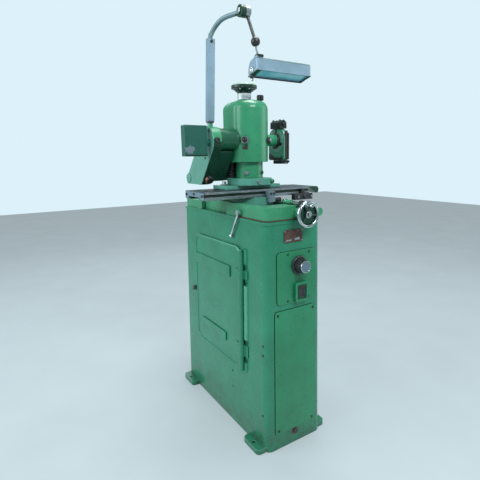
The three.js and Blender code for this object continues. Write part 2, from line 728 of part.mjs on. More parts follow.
function stopSpindle() {
  const { knob, knobDepth, drumLength, rod, rodLength, core } = stop;
  const knobFront = noseBack + fit.gap;
  const rodBack = noseBack - drumLength - fit.gap;
  return turned('y', [
    [0, rodBack - rodLength], [rod, rodBack - rodLength], [rod, rodBack], [core, rodBack], [core, knobFront],
    [knob, knobFront], [knob, knobFront + knobDepth], [0, knobFront + knobDepth],
  ], facets.small).translate(stop.x, 0, stop.z);
}

// Cross slide and turntable

function crossSlide() {
  const { half, front, back, top } = slide;
  const body = block(-half, half, front, back, bedFootTop + fit.gap, top);
  const bore = bar('y', feed.x, feed.z, feed.screw + fit.run, front - fit.overrun, back + fit.overrun);
  const socket = bar(
    'z', 0, turntable.y, turntable.pivot + fit.run, top - turntable.pivotDepth - fit.run, top + fit.overrun,
  );
  return cut(body, bore, socket);
}

const turntableTop = table.bottom - fit.gap;

// The dovetail that the table slides on. With grow it is the clearance cut in the table.
function railOutline(grow, foot) {
  const low = turntableTop - foot;
  const high = turntableTop + rail.height + grow;
  const reach = rail.half + grow;
  return polygon([
    [turntable.y - reach, low], [turntable.y + reach, low], [turntable.y + reach, turntableTop],
    [turntable.y + reach + rail.flare, high], [turntable.y - reach - rail.flare, high],
    [turntable.y - reach, turntableTop],
  ]);
}

function roundTable() {
  const bottom = slide.top + fit.gap;
  return join(
    bar('z', 0, turntable.y, turntable.radius, bottom, turntableTop, facets.fine),
    bar('z', 0, turntable.y, turntable.pivot, slide.top - turntable.pivotDepth, bottom + fit.overrun),
    prism('x', railOutline(0, fit.overrun), -rail.length, rail.length),
  );
}

// Table and what is clamped to it

const dogBack = table.front - fit.gap;

function tableBody() {
  const { left, right, front, back, bottom, top, grooveBottom, grooveTop, grooveDepth } = table;
  const body = block(left, right, front, back, bottom, top);
  const dovetail = prism('x', railOutline(fit.run, fit.overrun), left - fit.overrun, right + fit.overrun);
  const groove = block(
    left - fit.overrun, right + fit.overrun, front - fit.overrun, front + grooveDepth, grooveBottom, grooveTop,
  );
  return cut(body, dovetail, groove);
}

function tableEndCap() {
  const left = table.right + fit.gap;
  const { length, bottom, top, corner } = endCap;
  const quarter = Math.PI / 2;
  const outline = new THREE.Shape();
  outline.moveTo(left, bottom);
  outline.absarc(left + length - corner, bottom + corner, corner, -quarter, 0);
  outline.absarc(left + length - corner, top - corner, corner, 0, quarter);
  outline.lineTo(left, top);
  return prism('y', outline, table.front, table.back);
}

function grooveKey(left, right) {
  return block(
    left, right, dogBack - fit.gap, table.front + dog.tongue, table.grooveBottom + fit.gap,
    table.grooveTop - fit.gap,
  );
}

const dogScrewY = dogBack - (dog.depth + dog.neck) / 2;

function stopDog() {
  const { left, right, bottom, top, depth, neck: step, neckBottom } = dog;
  const upper = block(left, right, dogBack - depth, dogBack, neckBottom, top);
  const lower = block(left, right, dogBack - depth, dogBack - step, bottom, neckBottom + fit.gap);
  const bore = bar(
    'x', dogScrewY, dogScrew.z, dogScrew.shank + fit.run, right - dogScrew.shankReach - fit.run,
    right + fit.overrun, facets.tiny,
  );
  return cut(join(upper, lower, grooveKey(left, right)), bore);
}

function stopScrew() {
  const from = dog.right + fit.gap;
  return join(
    bar('x', dogScrewY, dogScrew.z, dogScrew.radius, from, from + dogScrew.length),
    bar(
      'x', dogScrewY, dogScrew.z, dogScrew.shank, dog.right - dogScrew.shankReach, from + fit.overrun,
      facets.tiny,
    ),
  );
}

function endStopDog() {
  const { left, right, bottom, top, depth, bolt, boltOut, boltX, boltZ } = endDog;
  const keyLeft = boltX - bolt;
  const keyRight = boltX + bolt;
  const body = block(left, right, dogBack - depth, dogBack, bottom, top);
  const rib = block(keyLeft, keyRight, dogBack - depth / 2, dogBack, top - fit.overrun, table.grooveTop - fit.gap);
  const head = bar('y', boltX, boltZ, bolt, dogBack - depth - boltOut, dogBack - depth + fit.overrun);
  return join(body, rib, grooveKey(keyLeft, keyRight), head);
}

// Head base, flange and column

const baseBottom = table.top + fit.gap;
const baseTop = baseBottom + base.thickness;
const flangeBottom = baseTop + fit.gap;
const flangeTop = flangeBottom + swivel.thickness;
const columnBottom = flangeTop - column.sink + fit.gap;

function headBase() {
  const { half, front, back, corner } = base;
  const plate = prism('z', roundedBox(-half, half, front, back, corner), baseBottom, baseTop);
  const socket = bar(
    'z', swivel.x, swivel.y, swivel.spigot + fit.run, baseTop - swivel.spigotDepth - fit.run,
    baseTop + fit.overrun, facets.medium,
  );
  return cut(plate, socket);
}

function headFlange() {
  const { x, y, half, chamfer, spigot, spigotDepth } = swivel;
  const near = half - chamfer;
  const outline = polygon([
    [x - half, y - near], [x - near, y - half], [x + near, y - half], [x + half, y - near],
    [x + half, y + near], [x + near, y + half], [x - near, y + half], [x - half, y + near],
  ]);
  const seats = [[x, y, column.radius], [boot.x, boot.y, boot.radius]].map(([seatX, seatY, radius]) => bar(
    'z', seatX, seatY, radius + fit.gap, flangeTop - column.sink, flangeTop + fit.overrun, facets.fine,
  ));
  const pivot = bar('z', x, y, spigot, flangeBottom - spigotDepth, flangeBottom + fit.overrun, facets.medium);
  return cut(join(prism('z', outline, flangeBottom, flangeTop), pivot), ...seats);
}

function clampNutAt(x) {
  const { y, radius, height, washer, washerHeight } = clampNut;
  const bottom = baseTop + fit.gap;
  return join(
    bar('z', x, y, washer, bottom, bottom + washerHeight),
    prism('z', circle(x, y, radius, 6), bottom, bottom + height),
  );
}

function columnBar() {
  const body = bar('z', swivel.x, swivel.y, column.radius, columnBottom, column.top, facets.fine);
  const bore = bar(
    'z', lift.x, lift.y, lift.screw + fit.run, lift.bottom - fit.overrun, column.top + fit.overrun,
  );
  return cut(body, bore);
}

function bootTube() {
  return cut(
    bar('z', boot.x, boot.y, boot.radius, columnBottom, boot.top),
    bar('z', boot.x, boot.y, boot.radius - boot.wall, columnBottom + boot.wall, boot.top + fit.overrun),
  );
}

// Head housing

const neckTop = head.top + neck.height;

function housingOutline(shrink) {
  const { radius, y, back } = head;
  const outline = new THREE.Shape();
  outline.moveTo(radius - shrink, back - shrink);
  outline.lineTo(-radius + shrink, back - shrink);
  outline.absarc(0, y, radius - shrink, Math.PI, 2 * Math.PI);
  return outline;
}

function housingRing(shrink, z) {
  return housingOutline(shrink).getPoints(facets.tiny).map((point) => [point.x, point.y, z]);
}

// The plan outline rises straight to the shoulder and closes over in a quarter round.
function housingBody() {
  const { bottom, top, shoulder } = head;
  const steps = facets.corner + 1;
  const dome = Array.from({ length: steps }, (_, step) => {
    const angle = Math.PI / 2 * step / steps;
    return housingRing(shoulder * (1 - Math.cos(angle)), top - shoulder + shoulder * Math.sin(angle));
  });
  return loft([housingRing(0, bottom), ...dome, housingRing(shoulder, top)]);
}

function housingSpace(grow) {
  return prism('z', housingOutline(-grow), head.bottom, head.top, facets.tiny);
}

function headHousing() {
  const { radius, wall, bottom, top, roomBottom, roomTop } = head;
  const collar = bar('z', lift.x, lift.y, neck.radius, top - neck.sink, neckTop, facets.medium);
  const wheelTube = bar(
    'x', spindle.y, spindle.z, wheelBoss.radius, radius - 2 * wall, wheelBoss.right, facets.medium,
  );
  const columnBore = bar(
    'z', swivel.x, swivel.y, column.radius + fit.run, bottom - fit.overrun, column.top + fit.loose, facets.fine,
  );
  const screwBore = bar('z', lift.x, lift.y, lift.screw + fit.run, column.top, neckTop + fit.overrun);
  const bootBore = bar('z', boot.x, boot.y, boot.radius + fit.loose, bottom - fit.overrun, boot.top + fit.loose);
  const quillBore = bar(
    'x', spindle.y, spindle.z, spindle.radius + fit.run, -radius - fit.overrun, wheelBoss.right + fit.overrun,
  );
  const room = prism('z', housingOutline(wall), roomBottom, roomTop, facets.corner);
  const sightBore = rodBetween(
    [...sightPlace(radius - sight.stemReach - fit.run), sight.z],
    [...sightPlace(radius + fit.overrun), sight.z], sight.stem + fit.run, facets.small,
  );
  const lockBore = bar('z', lockKnob.x, lockKnob.y, lockKnob.stem + fit.run, lockKnob.stemBottom - fit.run, top);
  return cut(
    join(housingBody(), collar, wheelTube), columnBore, screwBore, bootBore, quillBore, room, sightBore, lockBore,
  );
}

function spinnerPlace() {
  return [lift.x + (topWheel.dishRadius + topWheel.radius - topWheel.groove) / 2, lift.y];
}

const topWheelLow = neckTop + topWheel.lift + fit.gap;
const topWheelHigh = topWheelLow + topWheel.height;

function liftHandwheel() {
  const { radius, hub, groove, dish, dishRadius, recess, recessRadius, hole, holeAt, holes } = topWheel;
  const foot = neckTop + fit.gap;
  const body = turned('z', [
    [0, foot], [hub, foot], [hub, topWheelLow + recess], [recessRadius, topWheelLow + recess],
    [recessRadius, topWheelLow], [radius - groove, topWheelLow], [radius, topWheelLow + groove],
    [radius, topWheelHigh - groove], [radius - groove, topWheelHigh], [dishRadius, topWheelHigh],
    [dishRadius, topWheelHigh - dish], [0, topWheelHigh - dish],
  ], facets.fine).translate(lift.x, lift.y, 0);
  const screw = bar('z', lift.x, lift.y, lift.screw, lift.bottom, topWheelHigh - dish / 2);
  const pinHole = bar(
    'z', ...spinnerPlace(), spinner.pin + fit.run, topWheelLow + groove, topWheelHigh + fit.overrun, facets.tiny,
  );
  const webHoles = Array.from({ length: holes }, (_, step) => {
    const angle = 2 * Math.PI * step / holes;
    const x = lift.x + holeAt * Math.cos(angle);
    const y = lift.y + holeAt * Math.sin(angle);
    return bar('z', x, y, hole, topWheelLow - fit.overrun, topWheelHigh + fit.overrun, facets.tiny);
  });
  return cut(join(body, screw), pinHole, ...webHoles);
}

function spinnerHandle() {
  const foot = topWheelHigh + fit.gap;
  const tip = foot + spinner.height;
  const pinEnd = topWheelLow + topWheel.groove + fit.run;
  const [x, y] = spinnerPlace();
  return turned('z', [
    [0, pinEnd], [spinner.pin, pinEnd], [spinner.pin, foot], [spinner.waist, foot],
    [spinner.radius, tip - spinner.radius], [spinner.waist, tip], [0, tip],
  ], facets.small).translate(x, y, 0);
}

function lockingKnob() {
  const { x, y, radius, stem, stemBottom, bottom, top, dome } = lockKnob;
  return turned('z', [
    [0, stemBottom], [stem, stemBottom], [stem, bottom], [radius, bottom], [radius, top - dome],
    [radius - dome, top], [0, top],
  ]).translate(x, y, 0);
}

function sightPlace(distance) {
  const angle = THREE.MathUtils.degToRad(sight.turn) - Math.PI / 2;
  return [distance * Math.cos(angle), head.y + distance * Math.sin(angle)];
}

function sightKnob() {
  const { radius, depth, stem, stemReach, edge } = sight;
  return turned('y', [
    [0, -depth], [radius - edge, -depth], [radius, edge - depth], [radius, 0], [stem, 0], [stem, stemReach],
    [0, stemReach],
  ]);
}

// Spindle, barrel, grinding wheel and its guard

const guardLeft = wheelBoss.right + fit.gap;
const guardRight = guardLeft + guard.thickness;

function spindleBarrel() {
  const tube = bar(
    'x', spindle.y, spindle.z, barrel.radius, barrel.left, 2 * head.wall - head.radius, facets.fine,
  );
  const bore = bar('x', spindle.y, spindle.z, spindle.radius + fit.run, barrel.left - fit.overrun, 0);
  return cut(tube, housingSpace(fit.gap), bore);
}

function spindleShaft() {
  return bar('x', spindle.y, spindle.z, spindle.radius, spindle.left, spindle.right);
}

function grindingWheel() {
  const { radius, thickness, left, hub, hubThickness } = stone;
  const inner = spindle.radius + fit.gap;
  const face = left + thickness;
  return turned('x', [
    [inner, left], [radius, left], [radius, face], [hub, face], [hub, face + hubThickness],
    [inner, face + hubThickness], [inner, left],
  ], facets.fine).translate(0, spindle.y, spindle.z);
}

// The guard's outline has a high round top and small bottom corners. With inset it is the room inside.
function guardOutline(inset) {
  const { front, back, bottom, top, topCorner, bottomCorner } = guard;
  const high = topCorner - inset;
  const low = bottomCorner - inset;
  const quarter = Math.PI / 2;
  const shape = new THREE.Shape();
  shape.absarc(back - bottomCorner, bottom + bottomCorner, low, -quarter, 0);
  shape.absarc(back - topCorner, top - topCorner, high, 0, quarter);
  shape.absarc(front + topCorner, top - topCorner, high, quarter, 2 * quarter);
  shape.absarc(front + bottomCorner, bottom + bottomCorner, low, 2 * quarter, 3 * quarter);
  return shape;
}

function wheelGuard() {
  const { front, wall, mouthBottom, mouthTop, mouthDepth } = guard;
  const box = prism('x', guardOutline(0), guardLeft, guardRight, facets.corner);
  const room = prism('x', guardOutline(wall), guardLeft + wall, guardRight + fit.overrun, facets.corner);
  const mouth = block(
    guardLeft + wall, guardRight + fit.overrun, front - fit.overrun, front + mouthDepth, mouthBottom, mouthTop,
  );
  const bore = bar(
    'x', spindle.y, spindle.z, spindle.radius + fit.run, guardLeft - fit.overrun, guardLeft + wall + fit.overrun,
  );
  return cut(box, room, mouth, bore);
}

function dresserBlock() {
  const { height, front, back, overhang, facet, rod, rodY, rodEnd, rodLean } = dresser;
  const bottom = guard.top + fit.gap;
  const top = bottom + height;
  const left = guardLeft - overhang;
  const right = guardRight + overhang;
  const body = prism('y', polygon([
    [left, bottom], [right, bottom], [right, top - facet], [right - facet, top], [left + facet, top],
    [left, top - facet],
  ]), front, back);
  const rodX = guardLeft - rod - fit.run;
  const needle = rodBetween([rodX, rodY, bottom + facet], [rodX, rodY + rodLean, rodEnd], rod);
  return join(body, needle);
}

function restBracket() {
  const { height, overhang, front, back, arm, armThickness } = rest;
  const top = guard.bottom - fit.gap;
  const middle = (guardLeft + guardRight) / 2;
  const armTop = top - height / 2 + armThickness;
  return join(
    block(guardLeft - overhang, guardRight + overhang, front, back, top - height, top),
    block(
      middle - armThickness, middle + armThickness, front - arm, front + fit.overrun, armTop - armThickness, armTop,
    ),
    ball(middle, front - arm, armTop - armThickness / 2, armThickness, facets.medium / 2),
  );
}

// Belt drive

const beltGuardRight = barrel.left - fit.gap;
const beltGuardLeft = beltGuardRight - beltGuard.depth;
const lidLeft = beltGuardLeft - fit.gap - beltGuard.wall;
const pulleyRight = beltGuardRight - beltGuard.wall - pulleys.inset;
const pulleyLeft = pulleyRight - pulleys.width;

// With inset the outline is the room inside the guard.
function beltGuardOutline(inset) {
  const { topY, topZ, radius, bottom, footFront, footBack, footCorner } = beltGuard;
  return beltOutline([
    [topY, topZ, radius - inset],
    [footFront + footCorner, bottom + footCorner, footCorner - inset],
    [footBack - footCorner, bottom + footCorner, footCorner - inset],
  ]);
}

const apronBottom = baseTop + fit.gap + clampNut.height + fit.loose;

// The slope of the guard's front: where it is at the knob's height, and how far it leans.
const apronTurn = (() => {
  const { topY, topZ, radius, bottom, footFront, footCorner } = beltGuard;
  const alongY = footFront + footCorner - topY;
  const alongZ = bottom + footCorner - topZ;
  return Math.atan2(alongZ, alongY) - Math.acos((radius - footCorner) / Math.hypot(alongY, alongZ));
})();

function apronY(z) {
  const { topY, topZ, radius } = beltGuard;
  return topY + (radius - (z - topZ) * Math.sin(apronTurn)) / Math.cos(apronTurn);
}

// A point on the knob's axis, so far inwards from the guard's sloping front.
function tensionPlace(inwards) {
  const y = apronY(tension.z) - inwards * Math.cos(apronTurn);
  return [tension.x, y, tension.z - inwards * Math.sin(apronTurn)];
}

// The guard's front wall runs on to the right, under the spindle, and ends in a cheek.
function beltGuardApron() {
  const { wall, apronRight, apronTop, apronBack, cheek } = beltGuard;
  const inside = beltGuardRight - wall;
  const sheet = cut(
    prism('x', beltGuardOutline(0), inside, apronRight),
    prism('x', beltGuardOutline(wall), inside - fit.overrun, apronRight - cheek),
  );
  const kept = block(
    inside, apronRight, beltGuard.topY - beltGuard.radius, apronBack, apronBottom, apronTop,
  );
  return common(sheet, kept);
}

function beltGuardCase() {
  const { wall, topZ, radius } = beltGuard;
  const top = topZ + radius;
  const box = prism('x', beltGuardOutline(0), beltGuardLeft, beltGuardRight);
  const postBoss = bar('z', post.bottomX, post.y, post.boss, top - post.boss, post.bossTop);
  const room = prism('x', beltGuardOutline(wall), beltGuardLeft - fit.overrun, beltGuardRight - wall);
  const postBore = bar(
    'z', post.bottomX, post.y, post.spigot + fit.run, top - 2 * post.boss, post.bossTop + fit.overrun,
  );
  const shaftBores = [[spindle.y, spindle.z, spindle.radius], [motor.y, motor.z, motor.shaft]].map(
    ([y, z, shaft]) => bar('x', y, z, shaft + fit.run, beltGuardRight - 2 * wall, beltGuardRight + fit.overrun),
  );
  const knobBore = rodBetween(
    tensionPlace(-fit.overrun), tensionPlace(tension.stemReach + fit.overrun), tension.stem + fit.run,
  );
  return cut(join(cut(box, room), postBoss, beltGuardApron()), postBore, ...shaftBores, knobBore);
}

function beltGuardLid() {
  return prism('x', beltGuardOutline(0), lidLeft, lidLeft + beltGuard.wall);
}

function motorBody() {
  const { y, z, radius, left, right, shaft, endBoss, endBossLength, footThickness, footHalf } = motor;
  const front = head.back + fit.gap;
  return cut(
    join(
      bar('x', y, z, radius, left, right, facets.fine),
      bar('x', y, z, endBoss, right - fit.overrun, right + endBossLength),
      block(-footHalf, footHalf, front, front + footThickness, motor.footBottom, motor.footTop),
      block(-footHalf, footHalf, front, y, z, motor.saddleTop),
    ),
    bar('x', y, z, shaft + fit.run, left - fit.overrun, 0),
  );
}

function motorShaft() {
  const { y, z, shaft, left } = motor;
  return bar('x', y, z, shaft, pulleyLeft, left / 2);
}

function pulleyOn(y, z, radius, shaft) {
  const { rim, flange } = pulleys;
  const inner = shaft + fit.gap;
  return turned('x', [
    [inner, pulleyLeft], [radius + rim, pulleyLeft], [radius + rim, pulleyLeft + flange],
    [radius, pulleyLeft + flange], [radius, pulleyRight - flange], [radius + rim, pulleyRight - flange],
    [radius + rim, pulleyRight], [inner, pulleyRight], [inner, pulleyLeft],
  ]).translate(0, y, z);
}

function driveBelt() {
  const middle = (pulleyLeft + pulleyRight) / 2;
  const from = middle - belt.width / 2;
  const to = middle + belt.width / 2;
  const around = (grow) => beltOutline([
    [spindle.y, spindle.z, pulleys.spindle + grow],
    [motor.y, motor.z, pulleys.motor + grow],
  ], facets.small);
  return cut(
    prism('x', around(belt.thickness), from, to),
    prism('x', around(fit.run), from - fit.overrun, to + fit.overrun),
  );
}

function tensionKnob() {
  const { radius, depth, stem, stemReach, edge } = tension;
  return turned('y', [
    [0, -depth], [radius - edge, -depth], [radius, edge - depth], [radius, -fit.gap], [stem, -fit.gap],
    [stem, stemReach], [0, stemReach],
  ]);
}

// Lamp box, post, arm and lamp

function lampSupplyBox() {
  const { left, right, front, back, bottom, top, corner } = lampBox;
  const body = prism('y', roundedBox(left, right, bottom, top, corner), front, back);
  const foot = bar('x', (front + back) / 2, spacer.z, spacer.radius, right - fit.overrun, lidLeft - fit.gap);
  return join(body, foot);
}

function lampPost() {
  const { bottomX, topX, y, bottom, top, width, depth, collar, bossTop, spigot, spigotReach } = post;
  const rate = (topX - bottomX) / (top - bottom);
  const stick = eachVertex(
    block(-width / 2, width / 2, y - depth / 2, y + depth / 2, bottom - fit.gap, top),
    (point) => {
      point.x += bottomX + (point.z - bottom) * rate;
    },
  );
  const foot = bar('z', bottomX, y, collar, bossTop + fit.gap, bottom);
  const pin = bar('z', bottomX, y, spigot, bossTop - spigotReach, bossTop + fit.gap + post.collarHeight);
  const seat = bar(
    'z', topX, y, post.seatRadius + fit.run, top - post.seat - fit.run, top + fit.overrun, facets.tiny,
  );
  return cut(join(stick, foot, pin), seat);
}

const elbowRight = elbow.left + elbow.thickness;

function lampArmTube() {
  const { radius, rise, kneeX, kneeY, overX, overY, overZ, steps } = lampArm;
  const start = post.top + fit.gap;
  const tube = bentRod([
    [post.topX, post.y, start + radius],
    [kneeX, kneeY, start + rise],
    [overX, overY, overZ],
    [(elbow.left + elbowRight) / 2, elbow.y + elbow.radius / 2, elbow.z],
  ], radius, steps, facets.small);
  const cuff = bar('z', post.topX, post.y, radius, start, start + 2 * radius);
  const pin = bar('z', post.topX, post.y, post.seatRadius, post.top - post.seat, start + radius, facets.tiny);
  const disc = bar('x', elbow.y, elbow.z, elbow.radius, elbow.left, elbowRight - fit.gap, facets.medium);
  const bore = bar(
    'x', elbow.y, elbow.z, elbow.pin + fit.run, elbowRight - elbow.pinReach - fit.run, elbowRight,
    facets.tiny,
  );
  return cut(join(tube, cuff, pin, disc), bore);
}

const ballPlace = new THREE.Vector3(dropRod.ballX, dropRod.ballY, dropRod.ballZ);
const stemFoot = new THREE.Vector3(
  lamp.left + lampStem.padLength / 2, lamp.front + lampStem.padDepth / 2, lamp.lower + lamp.height,
);
const stemAlong = stemFoot.clone().sub(ballPlace).normalize();

function lampDrop() {
  const { radius, ball: ballRadius, socket, mouthTurn } = dropRod;
  const right = elbowRight + elbow.thickness;
  const top = [(elbowRight + right) / 2, elbow.y, elbow.z];
  const mouth = ballRadius + fit.overrun;
  const wide = lampStem.radius + mouth * Math.tan(THREE.MathUtils.degToRad(mouthTurn));
  const funnel = new THREE.CylinderGeometry(lampStem.radius, wide, mouth, facets.small);
  funnel.translate(0, -mouth / 2, 0);
  funnel.applyQuaternion(new THREE.Quaternion().setFromUnitVectors(axes.y.clone().negate(), stemAlong));
  funnel.translate(...ballPlace);
  return cut(
    join(
      bar('x', elbow.y, elbow.z, elbow.radius, elbowRight, right, facets.medium),
      bar('x', elbow.y, elbow.z, elbow.pin, elbowRight - elbow.pinReach, right, facets.tiny),
      rodBetween(top, [...ballPlace], radius),
      ball(...ballPlace, ballRadius, facets.medium),
    ),
    ball(...ballPlace, socket), funnel,
  );
}

// The hood's outline, front at the left. With inset it is the room inside, open below.
function lampOutline(inset) {
  const { front, back, lower, height, drop, backShare, crownShare } = lamp;
  const below = inset ? fit.overrun : 0;
  const near = front + inset;
  const far = back - inset;
  const top = lower + height - inset;
  const shape = new THREE.Shape();
  shape.moveTo(near, lower - below);
  shape.lineTo(far, lower - drop - below);
  shape.lineTo(far, lower + height * backShare);
  shape.quadraticCurveTo(far, top, front + (back - front) * crownShare, top);
  shape.lineTo(near, top);
  return shape;
}

function lampShell() {
  const { left, right, wall, lower, height } = lamp;
  const hood = cut(
    prism('x', lampOutline(0), left, right),
    prism('x', lampOutline(wall), left + wall, right - wall),
  );
  const top = lower + height;
  const pad = block(
    left, left + lampStem.padLength, lamp.front, lamp.front + lampStem.padDepth, top - wall / 2,
    top + lampStem.padHeight,
  );
  return join(
    hood, pad, rodBetween([...ballPlace], [...stemFoot], lampStem.radius),
    ball(...ballPlace, lampStem.ball, facets.medium / 2),
  );
}

function lampPane() {
  const { left, right, front, back, lower, drop, wall } = lamp;
  const edge = wall + fit.gap;
  const low = lower + lampGlass.inset;
  return prism('x', polygon([
    [front + edge, low], [back - edge, low - drop], [back - edge, low - drop + lampGlass.thickness],
    [front + edge, low + lampGlass.thickness],
  ]), left + edge, right - edge);
}

function lampBulb() {
  const edge = lamp.wall + fit.gap;
  return bar('x', lampTube.y, lampTube.z, lampTube.radius, lamp.left + edge, lamp.right - edge, facets.small);
}

// Assembly

piece('cabinet', 'enamel', cabinetShell());
piece('door', 'enamel', doorLeaf());
piece('hinge_upper', 'enamelDark', hingeBracket(hingeUpper));
piece('hinge_lower', 'enamelDark', hingeBracket(hingeLower));
piece('door_strip_upper', 'enamelPale', doorStrip(stripSpan.upper, stripUpper));
piece('door_strip_lower', 'enamelPale', doorStrip(stripSpan.lower, stripLower));
piece('door_latch', 'dark', doorLatch());
piece('switch_panel', 'enamel', switchPanel());
piece('lower_cover', 'enamel', lowerCover());
piece('name_plate', 'copper', makerPlate());
piece('switchgear_box', 'dark', switchgear());
piece('rotary_switch', 'black', rotarySwitch(), frontStand(dial.x, dialZ, panelFace));
piece('drain_plug', 'copper', drainPlug(), frontStand(plug.x, plug.z, fit.gap));
const switchStand = frontStand(rockerMiddle.x, rockerMiddle.z, panelFace);
piece('switch_bezel', 'enamelPale', switchBezel(), switchStand);
piece('rocker_key', 'black', rockerKey(), switchStand).position.y = -rocker.swingOut;

piece('bed_casting', 'enamelDark', bedCasting(), machineTop);
piece('bed_clamp_lever', 'chrome', clampLever(), machineTop);
piece('feed_screw', 'steel', feedScrew(), machineTop);
piece('front_handwheel', 'chrome', handwheel(), machineTop);
piece('crank_handle', 'steel', crankHandle(), machineTop);
piece('stop_spindle', 'dark', stopSpindle(), machineTop);
piece('cross_slide', 'castIron', crossSlide(), machineTop);
piece('turntable', 'enamelDark', roundTable(), machineTop);

piece('table', 'castIron', tableBody(), machineTop);
piece('table_end_cap', 'enamelDark', tableEndCap(), machineTop);
piece('stop_dog', 'steel', stopDog(), machineTop);
piece('stop_screw', 'dark', stopScrew(), machineTop);
piece('end_stop', 'dark', endStopDog(), machineTop);

piece('head_base', 'enamelDark', headBase(), machineTop);
piece('head_flange', 'enamelDark', headFlange(), machineTop);
piece('clamp_nut_left', 'steel', clampNutAt(-clampNut.x), machineTop);
piece('clamp_nut_right', 'steel', clampNutAt(clampNut.x), machineTop);
piece('column', 'steel', columnBar(), machineTop);
piece('dust_tube', 'black', bootTube(), machineTop);

piece('head_housing', 'enamelDark', headHousing(), machineTop);
piece('lift_handwheel', 'black', liftHandwheel(), machineTop);
piece('lift_spinner', 'chrome', spinnerHandle(), machineTop);
piece('locking_knob', 'black', lockingKnob(), machineTop);
const sightMesh = piece('sight_knob', 'black', sightKnob(), machineTop);
sightMesh.position.set(...sightPlace(head.radius + fit.gap), sight.z);
sightMesh.rotation.z = THREE.MathUtils.degToRad(sight.turn);

piece('spindle_barrel', 'enamelPale', spindleBarrel(), machineTop);
piece('spindle', 'steel', spindleShaft(), machineTop);
piece('spindle_pulley', 'steel', pulleyOn(spindle.y, spindle.z, pulleys.spindle, spindle.radius), machineTop);
piece('grinding_wheel', 'stone', grindingWheel(), machineTop);
piece('wheel_guard', 'enamelDark', wheelGuard(), machineTop);
piece('dresser_block', 'black', dresserBlock(), machineTop);
piece('rest_bracket', 'black', restBracket(), machineTop);

piece('belt_guard', 'enamel', beltGuardCase(), machineTop);
piece('belt_guard_lid', 'enamel', beltGuardLid(), machineTop);
piece('motor', 'black', motorBody(), machineTop);
piece('motor_shaft', 'steel', motorShaft(), machineTop);
piece('motor_pulley', 'steel', pulleyOn(motor.y, motor.z, pulleys.motor, motor.shaft), machineTop);
piece('drive_belt', 'rubber', driveBelt(), machineTop);
const tensionMesh = piece('tension_knob', 'black', tensionKnob(), machineTop);
tensionMesh.position.set(...tensionPlace(0));
tensionMesh.rotation.x = apronTurn + Math.PI;

piece('lamp_supply_box', 'enamel', lampSupplyBox(), machineTop);
piece('lamp_post', 'steel', lampPost(), machineTop);
piece('lamp_arm', 'chrome', lampArmTube(), machineTop);
piece('lamp_drop', 'black', lampDrop(), machineTop);
piece('lamp_shell', 'enamel', lampShell(), machineTop);
piece('lamp_pane', 'glass', lampPane(), machineTop);
piece('lamp_tube', 'glass', lampBulb(), machineTop);

export default machine;
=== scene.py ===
# Studio scene of the cutter grinder. Sizes below are in millimetres and become metres in the meshes.
import json
from math import asin, atan, cos, degrees, hypot, pi, radians, sin

import bmesh
import bpy
from mathutils import Matrix, Vector


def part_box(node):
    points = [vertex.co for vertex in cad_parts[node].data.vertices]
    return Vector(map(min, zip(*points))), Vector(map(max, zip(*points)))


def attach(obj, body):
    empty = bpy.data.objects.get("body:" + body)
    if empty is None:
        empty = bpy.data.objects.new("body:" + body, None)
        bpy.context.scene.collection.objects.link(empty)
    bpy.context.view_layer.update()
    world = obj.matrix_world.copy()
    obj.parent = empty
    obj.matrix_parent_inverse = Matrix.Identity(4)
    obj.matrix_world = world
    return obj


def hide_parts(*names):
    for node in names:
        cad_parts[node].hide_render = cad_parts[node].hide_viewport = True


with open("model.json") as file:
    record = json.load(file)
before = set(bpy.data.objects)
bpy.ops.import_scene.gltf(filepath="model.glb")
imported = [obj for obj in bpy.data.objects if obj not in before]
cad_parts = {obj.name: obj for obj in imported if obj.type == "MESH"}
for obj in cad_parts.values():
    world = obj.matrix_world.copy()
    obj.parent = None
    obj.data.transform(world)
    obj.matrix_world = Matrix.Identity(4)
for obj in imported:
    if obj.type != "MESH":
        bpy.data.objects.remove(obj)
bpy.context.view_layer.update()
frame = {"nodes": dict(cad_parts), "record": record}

NODES = frame["nodes"]
BODY_OF = {node: body for body, nodes in frame["record"]["behaviour"]["bodies"].items() for node in nodes}
SLOT_OF = {entry["node"]: entry["material_slot"] for entry in frame["record"]["subparts"]}
MM = 0.001
LEFT, FORWARD, UP = (-1, 0, 0), (0, -1, 0), (0, 0, 1)


# Shader graphs

